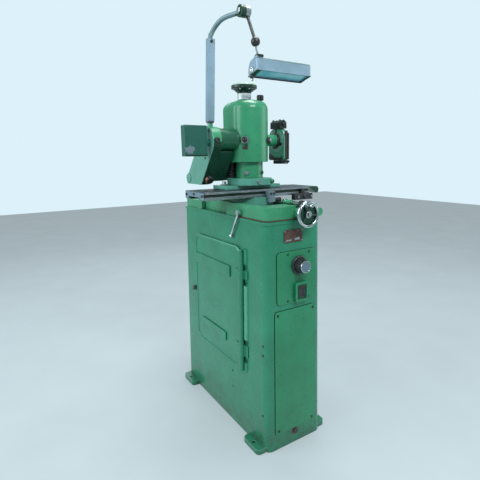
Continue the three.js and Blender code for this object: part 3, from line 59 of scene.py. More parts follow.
class Graph:
    """A small builder for the shader nodes of a material or of the world."""

    def __init__(self, owner):
        owner.use_nodes = True
        self.owner, self.tree = owner, owner.node_tree
        self.tree.nodes.clear()

    def node(self, kind, sockets=(), **settings):
        made = self.tree.nodes.new("ShaderNode" + kind)
        for key, value in settings.items():
            setattr(made, key, value)
        for key, value in dict(sockets).items():
            self.feed(made.inputs[key], value)
        return made

    def feed(self, socket, value):
        if isinstance(value, bpy.types.NodeSocket):
            self.tree.links.new(value, socket)
        elif isinstance(value, tuple) and len(value) == 3 and len(socket.default_value) == 4:
            socket.default_value = (*value, 1)
        else:
            socket.default_value = value

    def noise(self, scale, detail, roughness, stretch=None):
        place = self.place
        if stretch:
            place = self.node("Mapping", {"Vector": place, "Scale": stretch}).outputs["Vector"]
        sockets = {"Vector": place, "Scale": scale, "Detail": detail, "Roughness": roughness}
        return self.node("TexNoise", sockets).outputs["Fac"]

    def cells(self, scale, feature="F1"):
        cells = self.node("TexVoronoi", {"Vector": self.place, "Scale": scale}, feature=feature)
        return cells.outputs["Distance"]

    def span(self, value, low, high, to_low=0, to_high=1):
        sockets = {"Value": value, "From Min": low, "From Max": high, "To Min": to_low, "To Max": to_high}
        return self.node("MapRange", sockets, clamp=True).outputs["Result"]

    def calc(self, operation, first, second):
        return self.node("Math", {0: first, 1: second}, operation=operation).outputs[0]

    def times(self, first, second):
        return self.calc("MULTIPLY", first, second)

    def mix(self, share, first, second):
        blend = self.node("Mix", {"Factor": share, "A": first, "B": second}, data_type="RGBA")
        return blend.outputs["Result"]

    def edge(self, radius):
        """Near one along edges and zero on flat faces."""
        bevel = self.node("Bevel", {"Radius": radius}, samples=4)
        flat = self.node("NewGeometry").outputs["Normal"]
        dot = self.node("VectorMath", {0: bevel.outputs["Normal"], 1: flat}, operation="DOT_PRODUCT")
        return self.span(dot.outputs["Value"], 0.995, 0.86)

    def crevice(self, distance):
        """Near one where faces close in on a point."""
        shade = self.node("AmbientOcclusion", {"Distance": distance}, samples=6)
        return self.span(shade.outputs["AO"], 0.85, 0.35)

    def relief(self, height, strength, distance, under=None):
        bump = self.node("Bump", {"Strength": strength, "Distance": distance, "Height": height})
        if under is not None:
            self.feed(bump.inputs["Normal"], under)
        return bump.outputs["Normal"]

    def seen(self, *rays):
        """One for the named kinds of ray and zero for all others."""
        path = self.node("LightPath")
        share = path.outputs[rays[0]]
        for ray in rays[1:]:
            share = self.calc("MAXIMUM", share, path.outputs[ray])
        return share

    def blend(self, share, first, second):
        return self.node("MixShader", {0: share, 1: first, 2: second}).outputs["Shader"]

    def surface(self, **sockets):
        named = {key.replace("_", " "): value for key, value in sockets.items()}
        return self.node("BsdfPrincipled", named).outputs["BSDF"]

    def finish(self, shader, kind="Material"):
        self.node("Output" + kind, {"Surface": shader})
        return self.owner

    def close(self, **sockets):
        return self.finish(self.surface(**sockets))


def fresh(name):
    """The graph of a new material, laid out in object coordinates."""
    g = Graph(bpy.data.materials.new(name))
    g.place = g.node("TexCoord").outputs["Object"]
    return g


def tint(color, gain):
    return tuple(min(1, channel * gain) for channel in color)


SEEPING_RUST, LOW_SHADE_AND_DIRT_COLOR, CORNER_SHADE_AND_GRIME = (0.085, 0.04, 0.018), (0.05, 0.045, 0.032), (0.008, 0.022, 0.015)
OIL_AND_CREVICE_SHADE, DUST, RUBBED = (0.015, 0.015, 0.014), (0.09, 0.095, 0.09), (0.16, 0.16, 0.15)


def enamel(
    name, base, chip=(0.03, 0.028, 0.024), wear=1, shade_and_grime=1, wave=0.25, low_shade_and_dirt=0, gloss=0.29, rust=0, coat=0.3,
):
    """Brushed machine enamel: uneven colour, orange peel, chipped edges, a painted highlight along the edges, painted
    shade mixed with dirt in the corners and, where asked, painted shade towards the bottom.
    """
    g = fresh(name)
    color = g.mix(g.span(g.noise(7, 5, 0.6), 0.35, 0.68), tint(base, 0.86), tint(base, 1.12))
    color = g.mix(g.span(g.noise(70, 4, 0.6), 0.3, 0.75, 0, 0.25), color, tint(base, 1.3))
    streaks = g.noise(9, 3, 0.5, (1, 1, 0.12))
    color = g.mix(g.span(streaks, 0.55, 0.8, 0, 0.22), color, tint(base, 0.6))
    if rust:
        seep = g.times(g.crevice(0.022), g.span(g.noise(21, 5, 0.75), 0.5, 0.6))
        color = g.mix(g.times(seep, rust), color, SEEPING_RUST)
    # Painted shade: darker towards the bottom, mottled, in a floor-dirt colour.
    if low_shade_and_dirt:
        height = g.node("SeparateXYZ", {"Vector": g.place}).outputs["Z"]
        mottled = g.span(g.noise(26, 5, 0.7), 0.38, 0.62)
        color = g.mix(g.times(g.times(g.span(height, 0.2, 0), mottled), low_shade_and_dirt), color, LOW_SHADE_AND_DIRT_COLOR)
    # Painted highlight: every sharp edge is mixed towards a lighter copy of the paint.
    color = g.mix(g.times(g.edge(0.005), 0.36), color, tint(base, 2))
    # Painted shade mixed with dirt: darker green in corners and crevices, found by ambient occlusion and mottled by
    # noise.
    shade_and_dirt = g.times(g.crevice(0.014), g.span(g.noise(45, 5, 0.7), 0.3, 0.65))
    color = g.mix(g.times(shade_and_dirt, 0.7 * shade_and_grime), color, CORNER_SHADE_AND_GRIME)
    worn = g.times(g.edge(0.0022), g.span(g.noise(130, 5, 0.75), 0.6 - 0.06 * wear, 0.66 - 0.05 * wear))
    flecks = g.span(g.noise(95, 2, 0.4), 0.765, 0.785)
    chips = g.calc("MAXIMUM", worn, g.times(flecks, 0.85 * wear))
    color = g.mix(chips, color, chip)
    sheen = g.span(g.noise(22, 4, 0.6), 0.3, 0.7, gloss - 0.06, gloss + 0.12)
    broad = g.relief(g.noise(16, 2, 0.4), wave, 0.004)
    peel = g.relief(g.noise(420, 2, 0.5), 0.1, 0.0006, broad)
    dent = g.relief(g.calc("SUBTRACT", 1, chips), 0.5, 0.0004, peel)
    return g.close(
        Base_Color=color, Roughness=g.calc("ADD", sheen, g.times(chips, 0.3)), Normal=dent,
        Specular_IOR_Level=0.36, Coat_Weight=coat, Coat_Roughness=0.07,
    )


def metal(name, base, stain=(0.12, 0.1, 0.08), rough=0.3, grain=(1, 1, 1), stains=0.4, metallic=1):
    """Bare machined metal with a lay of fine scratches, old oil marks and painted shade in its crevices."""
    g = fresh(name)
    lay = g.noise(900, 3, 0.6, grain)
    color = g.mix(g.span(lay, 0.3, 0.7), tint(base, 0.82), tint(base, 1.12))
    marks = g.times(g.span(g.noise(28, 5, 0.65), 0.5, 0.72), stains)
    color = g.mix(marks, color, stain)
    # Painted shade: darker in crevices, in the near-black of old oil.
    color = g.mix(g.times(g.crevice(0.01), 0.7), color, OIL_AND_CREVICE_SHADE)
    roughness = g.calc("ADD", g.span(lay, 0.3, 0.7, rough - 0.06, rough + 0.08), g.times(marks, 0.25))
    return g.close(Base_Color=color, Metallic=metallic, Roughness=roughness, Normal=g.relief(lay, 0.12, 0.0003))


def moulded(name, base, rough=0.35, dust=0.35):
    """Dark moulded knobs and rubber, with fine scratches and dust."""
    g = fresh(name)
    fine = g.noise(500, 3, 0.6)
    color = g.mix(g.span(fine, 0.35, 0.7), base, tint(base, 1.9))
    film = g.times(g.span(g.noise(60, 5, 0.7), 0.45, 0.75), dust)
    color = g.mix(film, color, DUST)
    rub = g.times(g.edge(0.0015), g.span(g.noise(160, 4, 0.7), 0.45, 0.6, 0, 0.5))
    color = g.mix(rub, color, RUBBED)
    roughness = g.calc("ADD", g.span(fine, 0.3, 0.7, rough - 0.05, rough + 0.08), g.times(film, 0.3))
    return g.close(Base_Color=color, Roughness=roughness, Normal=g.relief(fine, 0.12, 0.0003))


def abrasive(name):
    g = fresh(name)
    grit = g.cells(1100)
    color = g.mix(g.span(grit, 0.1, 0.7), (0.62, 0.58, 0.5), (0.34, 0.31, 0.27))
    color = g.mix(g.span(g.noise(60, 4, 0.7), 0.55, 0.7, 0, 0.5), color, (0.16, 0.15, 0.13))
    return g.close(Base_Color=color, Roughness=0.95, Normal=g.relief(grit, 0.6, 0.0006))


def hammered(name, base):
    """Grey hammer-finish lacquer of the lamp."""
    g = fresh(name)
    dimples = g.cells(260, "SMOOTH_F1")
    color = g.mix(g.span(g.noise(12, 4, 0.6), 0.35, 0.7), tint(base, 0.85), tint(base, 1.12))
    rub = g.times(g.edge(0.0018), g.span(g.noise(110, 5, 0.7), 0.5, 0.62))
    color = g.mix(rub, color, (0.42, 0.44, 0.45))
    # Painted shade: darker in crevices.
    color = g.mix(g.times(g.crevice(0.012), 0.6), color, (0.03, 0.035, 0.04))
    return g.close(
        Base_Color=color, Metallic=0.25, Roughness=g.span(dimples, 0.1, 0.6, 0.32, 0.48),
        Normal=g.relief(dimples, 0.25, 0.0006),
    )


def worn_plate(name):
    """Blank brown metal plate, rubbed bright in places."""
    g = fresh(name)
    cloud = g.noise(55, 5, 0.7)
    color = g.mix(g.span(cloud, 0.4, 0.7), (0.06, 0.026, 0.02), (0.12, 0.058, 0.044))
    bare = g.span(g.noise(38, 5, 0.75), 0.6, 0.66)
    return g.close(
        Base_Color=g.mix(bare, color, (0.55, 0.55, 0.53)), Metallic=g.times(bare, 0.8),
        Roughness=g.span(cloud, 0.3, 0.7, 0.3, 0.5), Normal=g.relief(cloud, 0.15, 0.0004),
    )


def pane_glass(name):
    g = fresh(name)
    ripple = g.noise(90, 3, 0.5)
    # Painted light: a bright teal base colour for a pane that faces down, away from the lamps.
    color = g.mix(g.span(g.noise(14, 3, 0.5), 0.35, 0.7), (0.2, 0.59, 0.68), (0.3, 0.74, 0.82))
    return g.close(
        Base_Color=color, Roughness=g.span(ripple, 0.3, 0.7, 0.08, 0.2), Normal=g.relief(ripple, 0.1, 0.0005),
        Transmission_Weight=0.12, IOR=1.5,
    )


BROWN_CHIP, DARK_CHIP = (0.045, 0.032, 0.022), (0.012, 0.014, 0.013)
PAINT = enamel("enamel_casting", (0.031, 0.25, 0.122), wave=0.35)
SHEET = enamel("enamel_sheet", (0.02, 0.2, 0.11), wear=0.8, wave=0.12, low_shade_and_dirt=0.6, rust=0.45)
FRONT = enamel("enamel_front", (0.016, 0.202, 0.092), wear=0.9, wave=0.1, low_shade_and_dirt=0.4, rust=0.5)
DEEP = enamel("enamel_deep", (0.006, 0.044, 0.024), wave=0.2)
# Near-black for dark joints and screws, and also for painted shade in recesses and along edges.
SHADE = enamel("enamel_joint_and_shade", (0.004, 0.022, 0.014), wear=0.3, wave=0.1)
WORN = enamel("enamel_worn", (0.03, 0.032, 0.028), chip=(0.075, 0.045, 0.035), wear=2.2, shade_and_grime=1.4)
CHIPPED = enamel("chipped_plate", (0.155, 0.225, 0.265), chip=(0.012, 0.016, 0.018), wear=2.6, shade_and_grime=1.2)
RIM = enamel("rubbed_rim_lit", (0.3, 0.42, 0.35), chip=(0.02, 0.06, 0.04), wear=1.6)
LIT_SHEET = enamel("enamel_sheet_lit", (0.075, 0.33, 0.21), wear=0.8, wave=0.1)
BARREL = enamel("enamel_barrel_shaded", (0.01, 0.09, 0.046), wear=0.8, wave=0.2)
BASE = enamel("enamel_base", (0.085, 0.3, 0.225), wave=0.3)
LIT_GUARD_SIDE = enamel("enamel_guard_lit_side", (0.115, 0.33, 0.25), wear=0.9, wave=0.2)
GUARD = enamel("enamel_guard", (0.1, 0.37, 0.255), chip=DARK_CHIP, wear=3.1, wave=0.2, shade_and_grime=1.6)
BED = enamel("enamel_bed", (0.042, 0.25, 0.125), chip=BROWN_CHIP, wear=1.7, wave=0.4, shade_and_grime=1.5, rust=0.8)
SHADED_WHEEL = enamel("enamel_wheel_shaded", (0.006, 0.032, 0.02), chip=(0.2, 0.24, 0.22), wear=1.6)
BOX = enamel("enamel_box", (0.015, 0.098, 0.074), chip=(0.14, 0.18, 0.2), wear=1.6, wave=0.1)
BARE = metal("bare_grey", (0.16, 0.21, 0.25), stain=(0.03, 0.04, 0.05), rough=0.5, stains=0.7, metallic=0.3)
BLACK = enamel("black_lacquer", (0.014, 0.017, 0.018), chip=(0.2, 0.2, 0.19), wear=1.1, shade_and_grime=0.4, gloss=0.42)
NECK = metal("dull_collar", (0.6, 0.66, 0.68), rough=0.5, stains=0.3, metallic=0.6)
WHEEL_RIM = metal("worn_chrome", (0.5, 0.57, 0.59), rough=0.16, stains=0.5)
STEEL = metal("ground_steel", (0.42, 0.47, 0.5), rough=0.28, grain=(0.05, 1, 1))
BRIGHT = metal("bright_steel", (0.58, 0.64, 0.67), rough=0.2, stains=0.2)
CHROME = metal("chrome_plate", (0.74, 0.8, 0.82), rough=0.1, stains=0.12)
IRON = metal(
    "scraped_iron", (0.07, 0.086, 0.11), stain=(0.02, 0.026, 0.03), rough=0.42, grain=(0.06, 1, 1), stains=0.7,
    metallic=0.7,
)
OILED = metal("oiled_steel", (0.075, 0.082, 0.085), stain=(0.02, 0.02, 0.018), rough=0.4, stains=0.6, metallic=0.8)
CUP = metal("sight_cup", (0.16, 0.21, 0.2), stain=(0.02, 0.03, 0.025), rough=0.42, stains=0.5, metallic=0.6)
KNOB = moulded("black_plastic", (0.01, 0.011, 0.012))
RUBBER = moulded("belt_rubber", (0.012, 0.012, 0.012), rough=0.7)
LAMP_TOP_REFLECTION = hammered("lamp_top_painted_reflection", (0.135, 0.215, 0.215))
GREY = hammered("lamp_lacquer", (0.245, 0.362, 0.452))
ARM = hammered("arm_lacquer", (0.15, 0.235, 0.26))
PLATE = worn_plate("maker_plate_blank")
STONE = abrasive("wheel_grit")
GLASS = pane_glass("lamp_pane_glass")
MILK = moulded("milk_glass", (0.62, 0.68, 0.7), rough=0.3, dust=0.1)
BLUEGREY = moulded("dial_face", (0.075, 0.12, 0.165), rough=0.3)
COPPER = metal("copper_wear_and_highlight", (0.3, 0.15, 0.1), rough=0.45, stains=0.6, metallic=0.7)
BED_TOP = enamel("enamel_bed_top", (0.038, 0.22, 0.112), chip=BROWN_CHIP, wear=1.9, shade_and_grime=1.8, gloss=0.62, coat=0)
LIT_GUARD_FACE = enamel("enamel_guard_face_lit", (0.23, 0.48, 0.4), chip=DARK_CHIP, wear=2.6, shade_and_grime=1.2)
LUG = enamel("enamel_lug", (0.022, 0.17, 0.095), chip=(0.3, 0.38, 0.4), wear=4, shade_and_grime=2.4, rust=1)
RUST = metal("rust_stain", (0.085, 0.05, 0.034), rough=0.8, stains=0.5, metallic=0.1)


# Mesh helpers: outlines are lists of (u, v) in millimetres

def turns(count, start=0):
    """Angles spread evenly over one turn."""
    return [2 * pi * (at + start) / count for at in range(count)]


def spaced(low, high, count):
    """Numbers evenly apart from low to high, in count steps."""
    return [low + (high - low) * step / count for step in range(count + 1)]


def arc(u, v, radius, start, end, count):
    angles = [radians(angle) for angle in spaced(start, end, count)]
    return [(u + radius * cos(angle), v + radius * sin(angle)) for angle in angles]


def rounded(left, right, bottom, top, radius, count):
    return (
        arc(right - radius, bottom + radius, radius, -90, 0, count)
        + arc(right - radius, top - radius, radius, 0, 90, count)
        + arc(left + radius, top - radius, radius, 90, 180, count)
        + arc(left + radius, bottom + radius, radius, 180, 270, count)
    )


AXES = {
    "x": Matrix(((0, 0, 1), (1, 0, 0), (0, 1, 0))),
    "y": Matrix(((1, 0, 0), (0, 0, 1), (0, 1, 0))),
    "z": Matrix(((1, 0, 0), (0, 1, 0), (0, 0, 1))),
}


def bridge(bm, rows, closed):
    """Joins rows of vertices by faces; a row of one vertex is a pole."""
    for low, high in zip(rows, rows[1:] + rows[:1] if closed else rows[1:]):
        count = max(len(low), len(high))
        for at in range(count if count > 1 else 0):
            after = (at + 1) % count
            corners = (low[at % len(low)], low[after % len(low)], high[after % len(high)], high[at % len(high)])
            bm.faces.new(tuple(dict.fromkeys(corners)))


def skin(rings, closed=False):
    """A mesh over rings of 3-D points, which end in caps or close into a loop."""
    bm = bmesh.new()
    rows = [[bm.verts.new([c * MM for c in point]) for point in ring] for ring in rings]
    bridge(bm, rows, closed)
    if not closed:
        bm.faces.new(rows[0][::-1])
        bm.faces.new(rows[-1])
    bmesh.ops.recalc_face_normals(bm, faces=bm.faces)
    return bm


def prism(axis, outline, low, high):
    turn = AXES[axis]
    return skin([[turn @ Vector((u, v, w)) for u, v in outline] for w in (low, high)])


def rod(axis, u, v, radius, count, low, high):
    return prism(axis, arc(u, v, radius, 0, 360 - 360 / count, count - 1), low, high)


def slab(axis, box, low, high, soft):
    """A plate over a rounded box with softened edges."""
    return ease(prism(axis, rounded(*box), low, high), soft)


def lathe(axis, profile, center=(0, 0, 0), count=72):
    """Turns (radius, along) pairs about an axis; the profile is a closed loop or starts and ends at radius 0."""
    turn, middle = AXES[axis], Vector(center)
    closed = profile[0] == profile[-1]
    bm = bmesh.new()
    rows = []
    for radius, along in profile[:-1] if closed else profile:
        angles = [0] if radius < 1e-6 else turns(count)
        places = [middle + turn @ Vector((radius * cos(angle), radius * sin(angle), along)) for angle in angles]
        rows.append([bm.verts.new(place * MM) for place in places])
    bridge(bm, rows, closed)
    bmesh.ops.recalc_face_normals(bm, faces=bm.faces)
    return bm


def turned(axis, profile, radius, center=(0, 0, 0), count=72):
    """A lathed shape with the inner corners of its profile rounded."""
    points = [Vector(point) for point in profile]
    softened = [tuple(points[0])]
    for before, corner, after in zip(points, points[1:], points[2:]):
        into, out = before - corner, after - corner
        reach = min(radius, into.length * 0.45, out.length * 0.45)
        if reach < 1e-4:
            softened.append(tuple(corner))
            continue
        start, end = corner + into.normalized() * reach, corner + out.normalized() * reach
        for t in spaced(0, 1, 3):
            softened.append(tuple((1 - t) ** 2 * start + 2 * t * (1 - t) * corner + t ** 2 * end))
    softened.append(tuple(points[-1]))
    return lathe(axis, softened, center, count)


def tube(points, radii, count=20):
    """A round tube along a smooth route with a radius for each point."""
    route = [Vector(point) for point in points]
    rings, side = [], None
    for at, (point, radius) in enumerate(zip(route, radii)):
        ahead = (route[min(at + 1, len(route) - 1)] - route[max(at - 1, 0)]).normalized()
        side = side or ahead.orthogonal().normalized()
        side = (side - ahead * side.dot(ahead)).normalized()
        up = ahead.cross(side)
        rings.append([point + (side * cos(angle) + up * sin(angle)) * radius for angle in turns(count)])
    return skin(rings)


def stored(bm, name="holder"):
    """The mesh data of a finished shape."""
    mesh = bpy.data.meshes.new(name)
    bm.to_mesh(mesh)
    bm.free()
    return mesh


def merge(*parts):
    """One mesh from several."""
    whole = bmesh.new()
    for part in parts:
        holder = stored(part)
        whole.from_mesh(holder)
        bpy.data.meshes.remove(holder)
    return whole


def placed(name, data):
    """A new object of the scene."""
    made = bpy.data.objects.new(name, data)
    bpy.context.scene.collection.objects.link(made)
    return made


def carved(bm, *tools, operation="DIFFERENCE"):
    """One mesh cut by others or joined to them."""
    block, *others = [placed("holder", stored(part)) for part in (bm, *tools)]
    for other in others:
        change = block.modifiers.new("change", "BOOLEAN")
        change.object, change.operation, change.solver = other, operation, "EXACT"
    whole = bmesh.new()
    whole.from_object(block, bpy.context.evaluated_depsgraph_get())
    for holder in (block, *others):
        mesh = holder.data
        bpy.data.objects.remove(holder)
        bpy.data.meshes.remove(mesh)
    return whole


def ease(bm, width, segments=2, angle=35):
    """Rounds every edge that turns more than the angle."""
    bm.normal_update()
    edges = [edge for edge in bm.edges if len(edge.link_faces) == 2 and degrees(edge.calc_face_angle(0)) > angle]
    if edges:
        bmesh.ops.bevel(
            bm, geom=edges, offset=width * MM, segments=segments, profile=0.5, affect="EDGES", clamp_overlap=True,
        )
    return bm


def detail(name, bm, material, node, stands_for=()):
    """Turns a mesh into a piece that rides on a node's body."""
    body, slot = BODY_OF[node], SLOT_OF[node]
    mesh = stored(bm, name)
    mesh.materials.append(material)
    mesh.shade_smooth()
    mesh.set_sharp_from_angle(angle=radians(38))
    piece = placed(name, mesh)
    piece.modifiers.new("even", "WEIGHTED_NORMAL").keep_sharp = True
    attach(piece, body)
    if stands_for:
        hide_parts(*stands_for)
    return piece


def for_node(node, bm, material):
    """A piece that stands for one node."""
    return detail(node + "_dressed", bm, material, node, (node,))


def dress(node, material, width, segments=2, angle=35, flat=1):
    """A piece of a node's own shape with rounded edges."""
    bm = bmesh.new()
    bm.from_mesh(NODES[node].data)
    bmesh.ops.remove_doubles(bm, verts=bm.verts, dist=1e-6)
    bmesh.ops.dissolve_limit(bm, angle_limit=radians(flat), verts=bm.verts, edges=bm.edges)
    return for_node(node, ease(bm, width, segments, angle), material)


def dress_all(*rows):
    for row in rows:
        dress(*row)


def aimed(bm, place, normal):
    """Moves a mesh made about +Z at the origin to a place with +Z along the normal."""
    turn = Vector(UP).rotation_difference(Vector(normal)).to_matrix().to_4x4()
    bmesh.ops.transform(bm, matrix=Matrix.Translation(Vector(place) * MM) @ turn, verts=bm.verts)
    return bm


def slotted_screw(place, normal, radius, turn):
    """A cheese-head screw with a cut slot."""
    height, slot = 1.8, 1.1
    foot = turned("z", [(0, 0), (radius, 0), (radius, height * 0.55), (0, height * 0.55)], 0.3, count=28)
    start = degrees(asin(slot / 2 / radius))
    halves = [arc(0, 0, radius * 0.97, side + start, side + 180 - start, 14) for side in (0, 180)]
    whole = merge(foot, *(ease(prism("z", half, height * 0.5, height), 0.35, 2, 40) for half in halves))
    bmesh.ops.rotate(whole, matrix=Matrix.Rotation(radians(turn), 3, "Z"), verts=whole.verts)
    return aimed(whole, place, normal)


def repaint(piece, material, chosen):
    """Gives the faces that the test picks, by their middle p in millimetres and their normal n, another material."""
    piece.data.materials.append(material)
    slot = len(piece.data.materials) - 1
    for face in piece.data.polygons:
        if chosen(face.center / MM, face.normal):
            face.material_index = slot


def fluted(radius, depth, flutes):
    """The outline of a grip with hollows between its ribs."""
    steps = flutes * 6
    reaches = [radius - depth * (0.5 - 0.5 * cos(2 * pi * flutes * at / steps)) for at in range(steps)]
    return [(reach * cos(angle), reach * sin(angle)) for reach, angle in zip(reaches, turns(steps))]


def grip(radius, height, depth, flutes, dome=2):
    """A fluted knob about +Z from the origin with rounded rims."""
    levels = ((0, 1.5), (1, 0.3), (2, 0), (height - dome, 0), (height - 0.35 * dome, 0.8), (height, 2.4))
    return skin([[(u, v, along) for u, v in fluted(radius - shrink, depth, flutes)] for along, shrink in levels])


def torus(axis, center, radius, thick, wide, count, around):
    """A ring about an axis, thick along its radius and wide along the axis."""
    profile = [(radius + thick * cos(angle), wide * sin(angle)) for angle in turns(around)]
    return lathe(axis, profile + [profile[0]], center, count)


def hex_head(place, normal, radius, height):
    outline = arc(0, 0, radius, 0, 300, 5)
    return aimed(ease(prism("z", outline, 0, height), radius * 0.12, 2, 30), place, normal)


def cap_screw(place, normal, radius, height):
    """A round head with a hollow in its middle."""
    low = height * 0.45
    outline = [(0, low), (radius * 0.5, low), (radius * 0.5, height), (radius, height), (radius, 0), (0, 0)]
    return aimed(turned("z", outline, 0.4, count=30), place, normal)


def ragged(count, levels, wave, place):
    """A thin patch whose rim follows a wave; place puts its own (u, v, w) on the object."""
    return skin([
        [place(size * wave(a) * cos(a), size * wave(a) * sin(a), w) for a in turns(count)] for size, w in levels
    ])


# Cabinet, door and what is on them

FOOT_X, FOOT_Y = 145.5, 384.5
RATE_X, RATE_Y = 9 / 850, 16 / 850
TILT = atan(RATE_Y)
FRONT_NORMAL = Vector((0, -cos(TILT), sin(TILT)))
SIDE_NORMAL = (-1, 0, RATE_X)


def front_y(z, proud=0):
    return -(FOOT_Y + proud) * (1 - RATE_Y * z / FOOT_Y)


def side_x(z, proud=0):
    return -FOOT_X - proud + RATE_X * z


def on_front(bm, base, way=1):
    """Lays a plate made along Y on the sloping front, at a height over the wall."""
    for vert in bm.verts:
        x, y, z = vert.co / MM
        vert.co = Vector((x, front_y(z, base + way * y), z)) * MM
    return bm


def side_bead(path, half_width, proud, base=0, closed=True, count=8):
    """A pressed bead on the left side along (y, z) points; half_width may depend on y."""
    rings = []
    last = len(path) - 1
    for at, (y, z) in enumerate(path):
        after = path[(at + 1) % len(path)] if closed else path[min(at + 1, last)]
        before = path[at - 1] if closed else path[max(at - 1, 0)]
        along = Vector((after[0] - before[0], after[1] - before[1])).normalized()
        across = Vector((-along.y, along.x))
        wide = half_width(y) if callable(half_width) else half_width
        angles = [pi * (1 - step / count) for step in range(count + 1)]
        section = [(wide, -1.5), (-wide, -1.5)] + [(wide * cos(angle), proud * sin(angle)) for angle in angles]
        rings.append([
            (side_x(z, base + height), y + across.x * side, z + across.y * side) for side, height in section
        ])
    return skin(rings, closed)


def plate_joint(name, node, grow=1.6):
    """A dark joint line round a plate on the front."""
    bm = bmesh.new()
    bm.from_mesh(NODES[node].data)
    low, high = (Vector(corner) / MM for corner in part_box(node))
    middle, half = (low + high) / 2, (high - low) / 2
    for vert in bm.verts:
        x, y, z = vert.co / MM
        x = middle.x + (x - middle.x) * (1 + grow / half.x)
        new_z = middle.z + (z - middle.z) * (1 + grow / half.z)
        vert.co = Vector((x, front_y(new_z, 0.7 if y < front_y(z, 2.5) else -0.6), new_z)) * MM
    detail(name, bm, SHADE, node)


cabinet = dress("cabinet", SHEET, 1.8, 3)
repaint(cabinet, LUG, lambda p, n: p.z < 24 and abs(p.x) > 141)
dress_all(
    ("door", SHEET, 3.4, 3), ("hinge_upper", SHEET, 1.6, 3), ("hinge_lower", SHEET, 1.6, 3),
    ("door_strip_upper", SHEET, 1.6, 3), ("door_strip_lower", SHEET, 1.6, 3), ("door_latch", OILED, 1),
    ("switch_panel", FRONT, 2.4, 4), ("lower_cover", FRONT, 2.4, 4),
)
plate_joint("panel_joint", "switch_panel")
plate_joint("cover_joint", "lower_cover")
dress("switchgear_box", BLACK, 3, 3)

DOOR_EDGE = rounded(-195, 222, 304, 834, 42, 12)
bead = side_bead(DOOR_EDGE, lambda y: 5 + 4 * min(max((-130 - y) / 50, 0), 1), 3.6, 8)
bead = detail("door_bead", bead, SHEET, "door")
# Painted highlight: the bead's upward faces near the top, and its front ridge, get a lighter copy of the sheet paint.
repaint(bead, LIT_SHEET, lambda p, n: p.z > 640 and n.z > 0.2 or p.y < -190 and p.z > 400)
HINGE_X, HINGE_RATE, HINGE_Y = -157.5, 0.010588, -208
for at, (low, high) in enumerate(((303, 343), (446, 686), (774, 834))):
    roll = [(HINGE_X + HINGE_RATE * z, HINGE_Y, z) for z in spaced(low, high, 8)]
    detail(f"door_roll_{at}", tube(roll, [7.5] * 9), SHEET, "door")
# Painted shadow: a near-black strip along the door's bottom edge.
shadow_path = [(y, 300.5) for y in range(-158, 190, 12)]
detail("door_low_shadow", side_bead(shadow_path, 2.2, 0.8, 8, closed=False), SHADE, "door")
for name, box in (("upper", (-110, 213, 702, 740)), ("lower", (-67, 157, 391, 420))):
    frame_path = rounded(*box, 3, 3)
    detail(f"strip_frame_{name}", side_bead(frame_path, 1.6, 1.3, 14, count=4), SHEET, f"door_strip_{name}")

# Painted highlight: the middle stand strip is a lighter copy of the sheet paint.
for name, y, heights, wide, proud, material in (
    ("stand_strip", -227.5, (*range(448, 688, 16), 684), 13.5, 9, LIT_SHEET),
    ("stand_strip_top", -226, spaced(776, 838, 5), 12, 8, SHEET),
    ("stand_strip_foot", -226, spaced(300, 342, 5), 12, 8, SHEET),
):
    detail(name, side_bead([(y, z) for z in heights], wide, proud, closed=False), material, "cabinet")
for bottom, top, name in ((688, 772, "upper"), (345, 444, "lower")):
    for z in (bottom + 10, top - 10):
        screw = slotted_screw((side_x(z, 4.6), -234, z), SIDE_NORMAL, 4, z)
        detail(f"hinge_{name}_screw_{z}", screw, OILED, f"hinge_{name}")

for name, node, radius, places in (
    ("panel", "switch_panel", 4.6, ((-37, 830), (70, 829), (-38, 641), (68, 641))),
    ("cover", "lower_cover", 5.4, ((-88, 590), (92, 590), (-88, 86), (90, 86))),
):
    for x, z in places:
        screw = slotted_screw((x, front_y(z, 5), z), FRONT_NORMAL, radius, x)
        detail(f"{name}_screw_{x}_{z}", screw, SHADE, node)
for z in (466, 426, 158):
    detail(f"corner_screw_{z}", slotted_screw((side_x(z), -350, z), SIDE_NORMAL, 5, z), SHADE, "cabinet")

# Blank plate with bare fields and four rivets
dress("name_plate", PLATE, 0.6)
for at, box in enumerate(((-44, -18, 882, 888), (0, 24, 884, 891), (-40, -6, 896, 900), (-40, 30, 911, 915))):
    field = on_front(prism("y", rounded(*box, 1.2, 3), 0, 0.5), 3)
    detail(f"plate_field_{at}", field, PLATE if at > 1 else BRIGHT, "name_plate")
for x, z in ((-49, 880), (35, 880), (-49, 921), (35, 921)):
    rivet = lathe("z", [(0, 0), (2.2, 0), (1.9, 0.8), (1, 1.3), (0, 1.5)], count=16)
    detail(f"plate_rivet_{x}_{z}", aimed(rivet, (x, front_y(z, 3), z), FRONT_NORMAL), BRIGHT, "name_plate")

# Rotary switch
DIAL = Vector((18, front_y(781, 5.2), 781))
skirt = turned("z", [(0, 0), (38, 0), (38, 4.5), (34.5, 8.5), (31.5, 8.5), (30.5, 6.5), (0, 6.5)], 1, count=96)
body = skin([
    [(u, v, w) for u, v in fluted(29 - shrink, 1.5, 20)] for w, shrink in ((5, 0), (27, 0), (30, 1), (31, 2.8))
])
nose = turned("z", [
    (0, 28), (25, 28), (25, 42), (24.2, 44.6), (22.6, 45), (21.2, 44.6), (20.6, 43), (0, 43),
], 0.5, count=96)
ticks = [
    aimed(prism("z", rounded(-0.6, 0.6, -1.6, 1.6, 0.3, 2), 0, 0.7), (33 * cos(a), 33 * sin(a), 8.2), UP)
    for a in turns(24)
]
dial = for_node("rotary_switch", aimed(merge(skirt, body, nose), DIAL, FRONT_NORMAL), KNOB)


def from_dial(p):
    """Distance from the dial's axis and along it."""
    away = p - DIAL
    along = away.dot(FRONT_NORMAL)
    return (away - FRONT_NORMAL * along).length, along


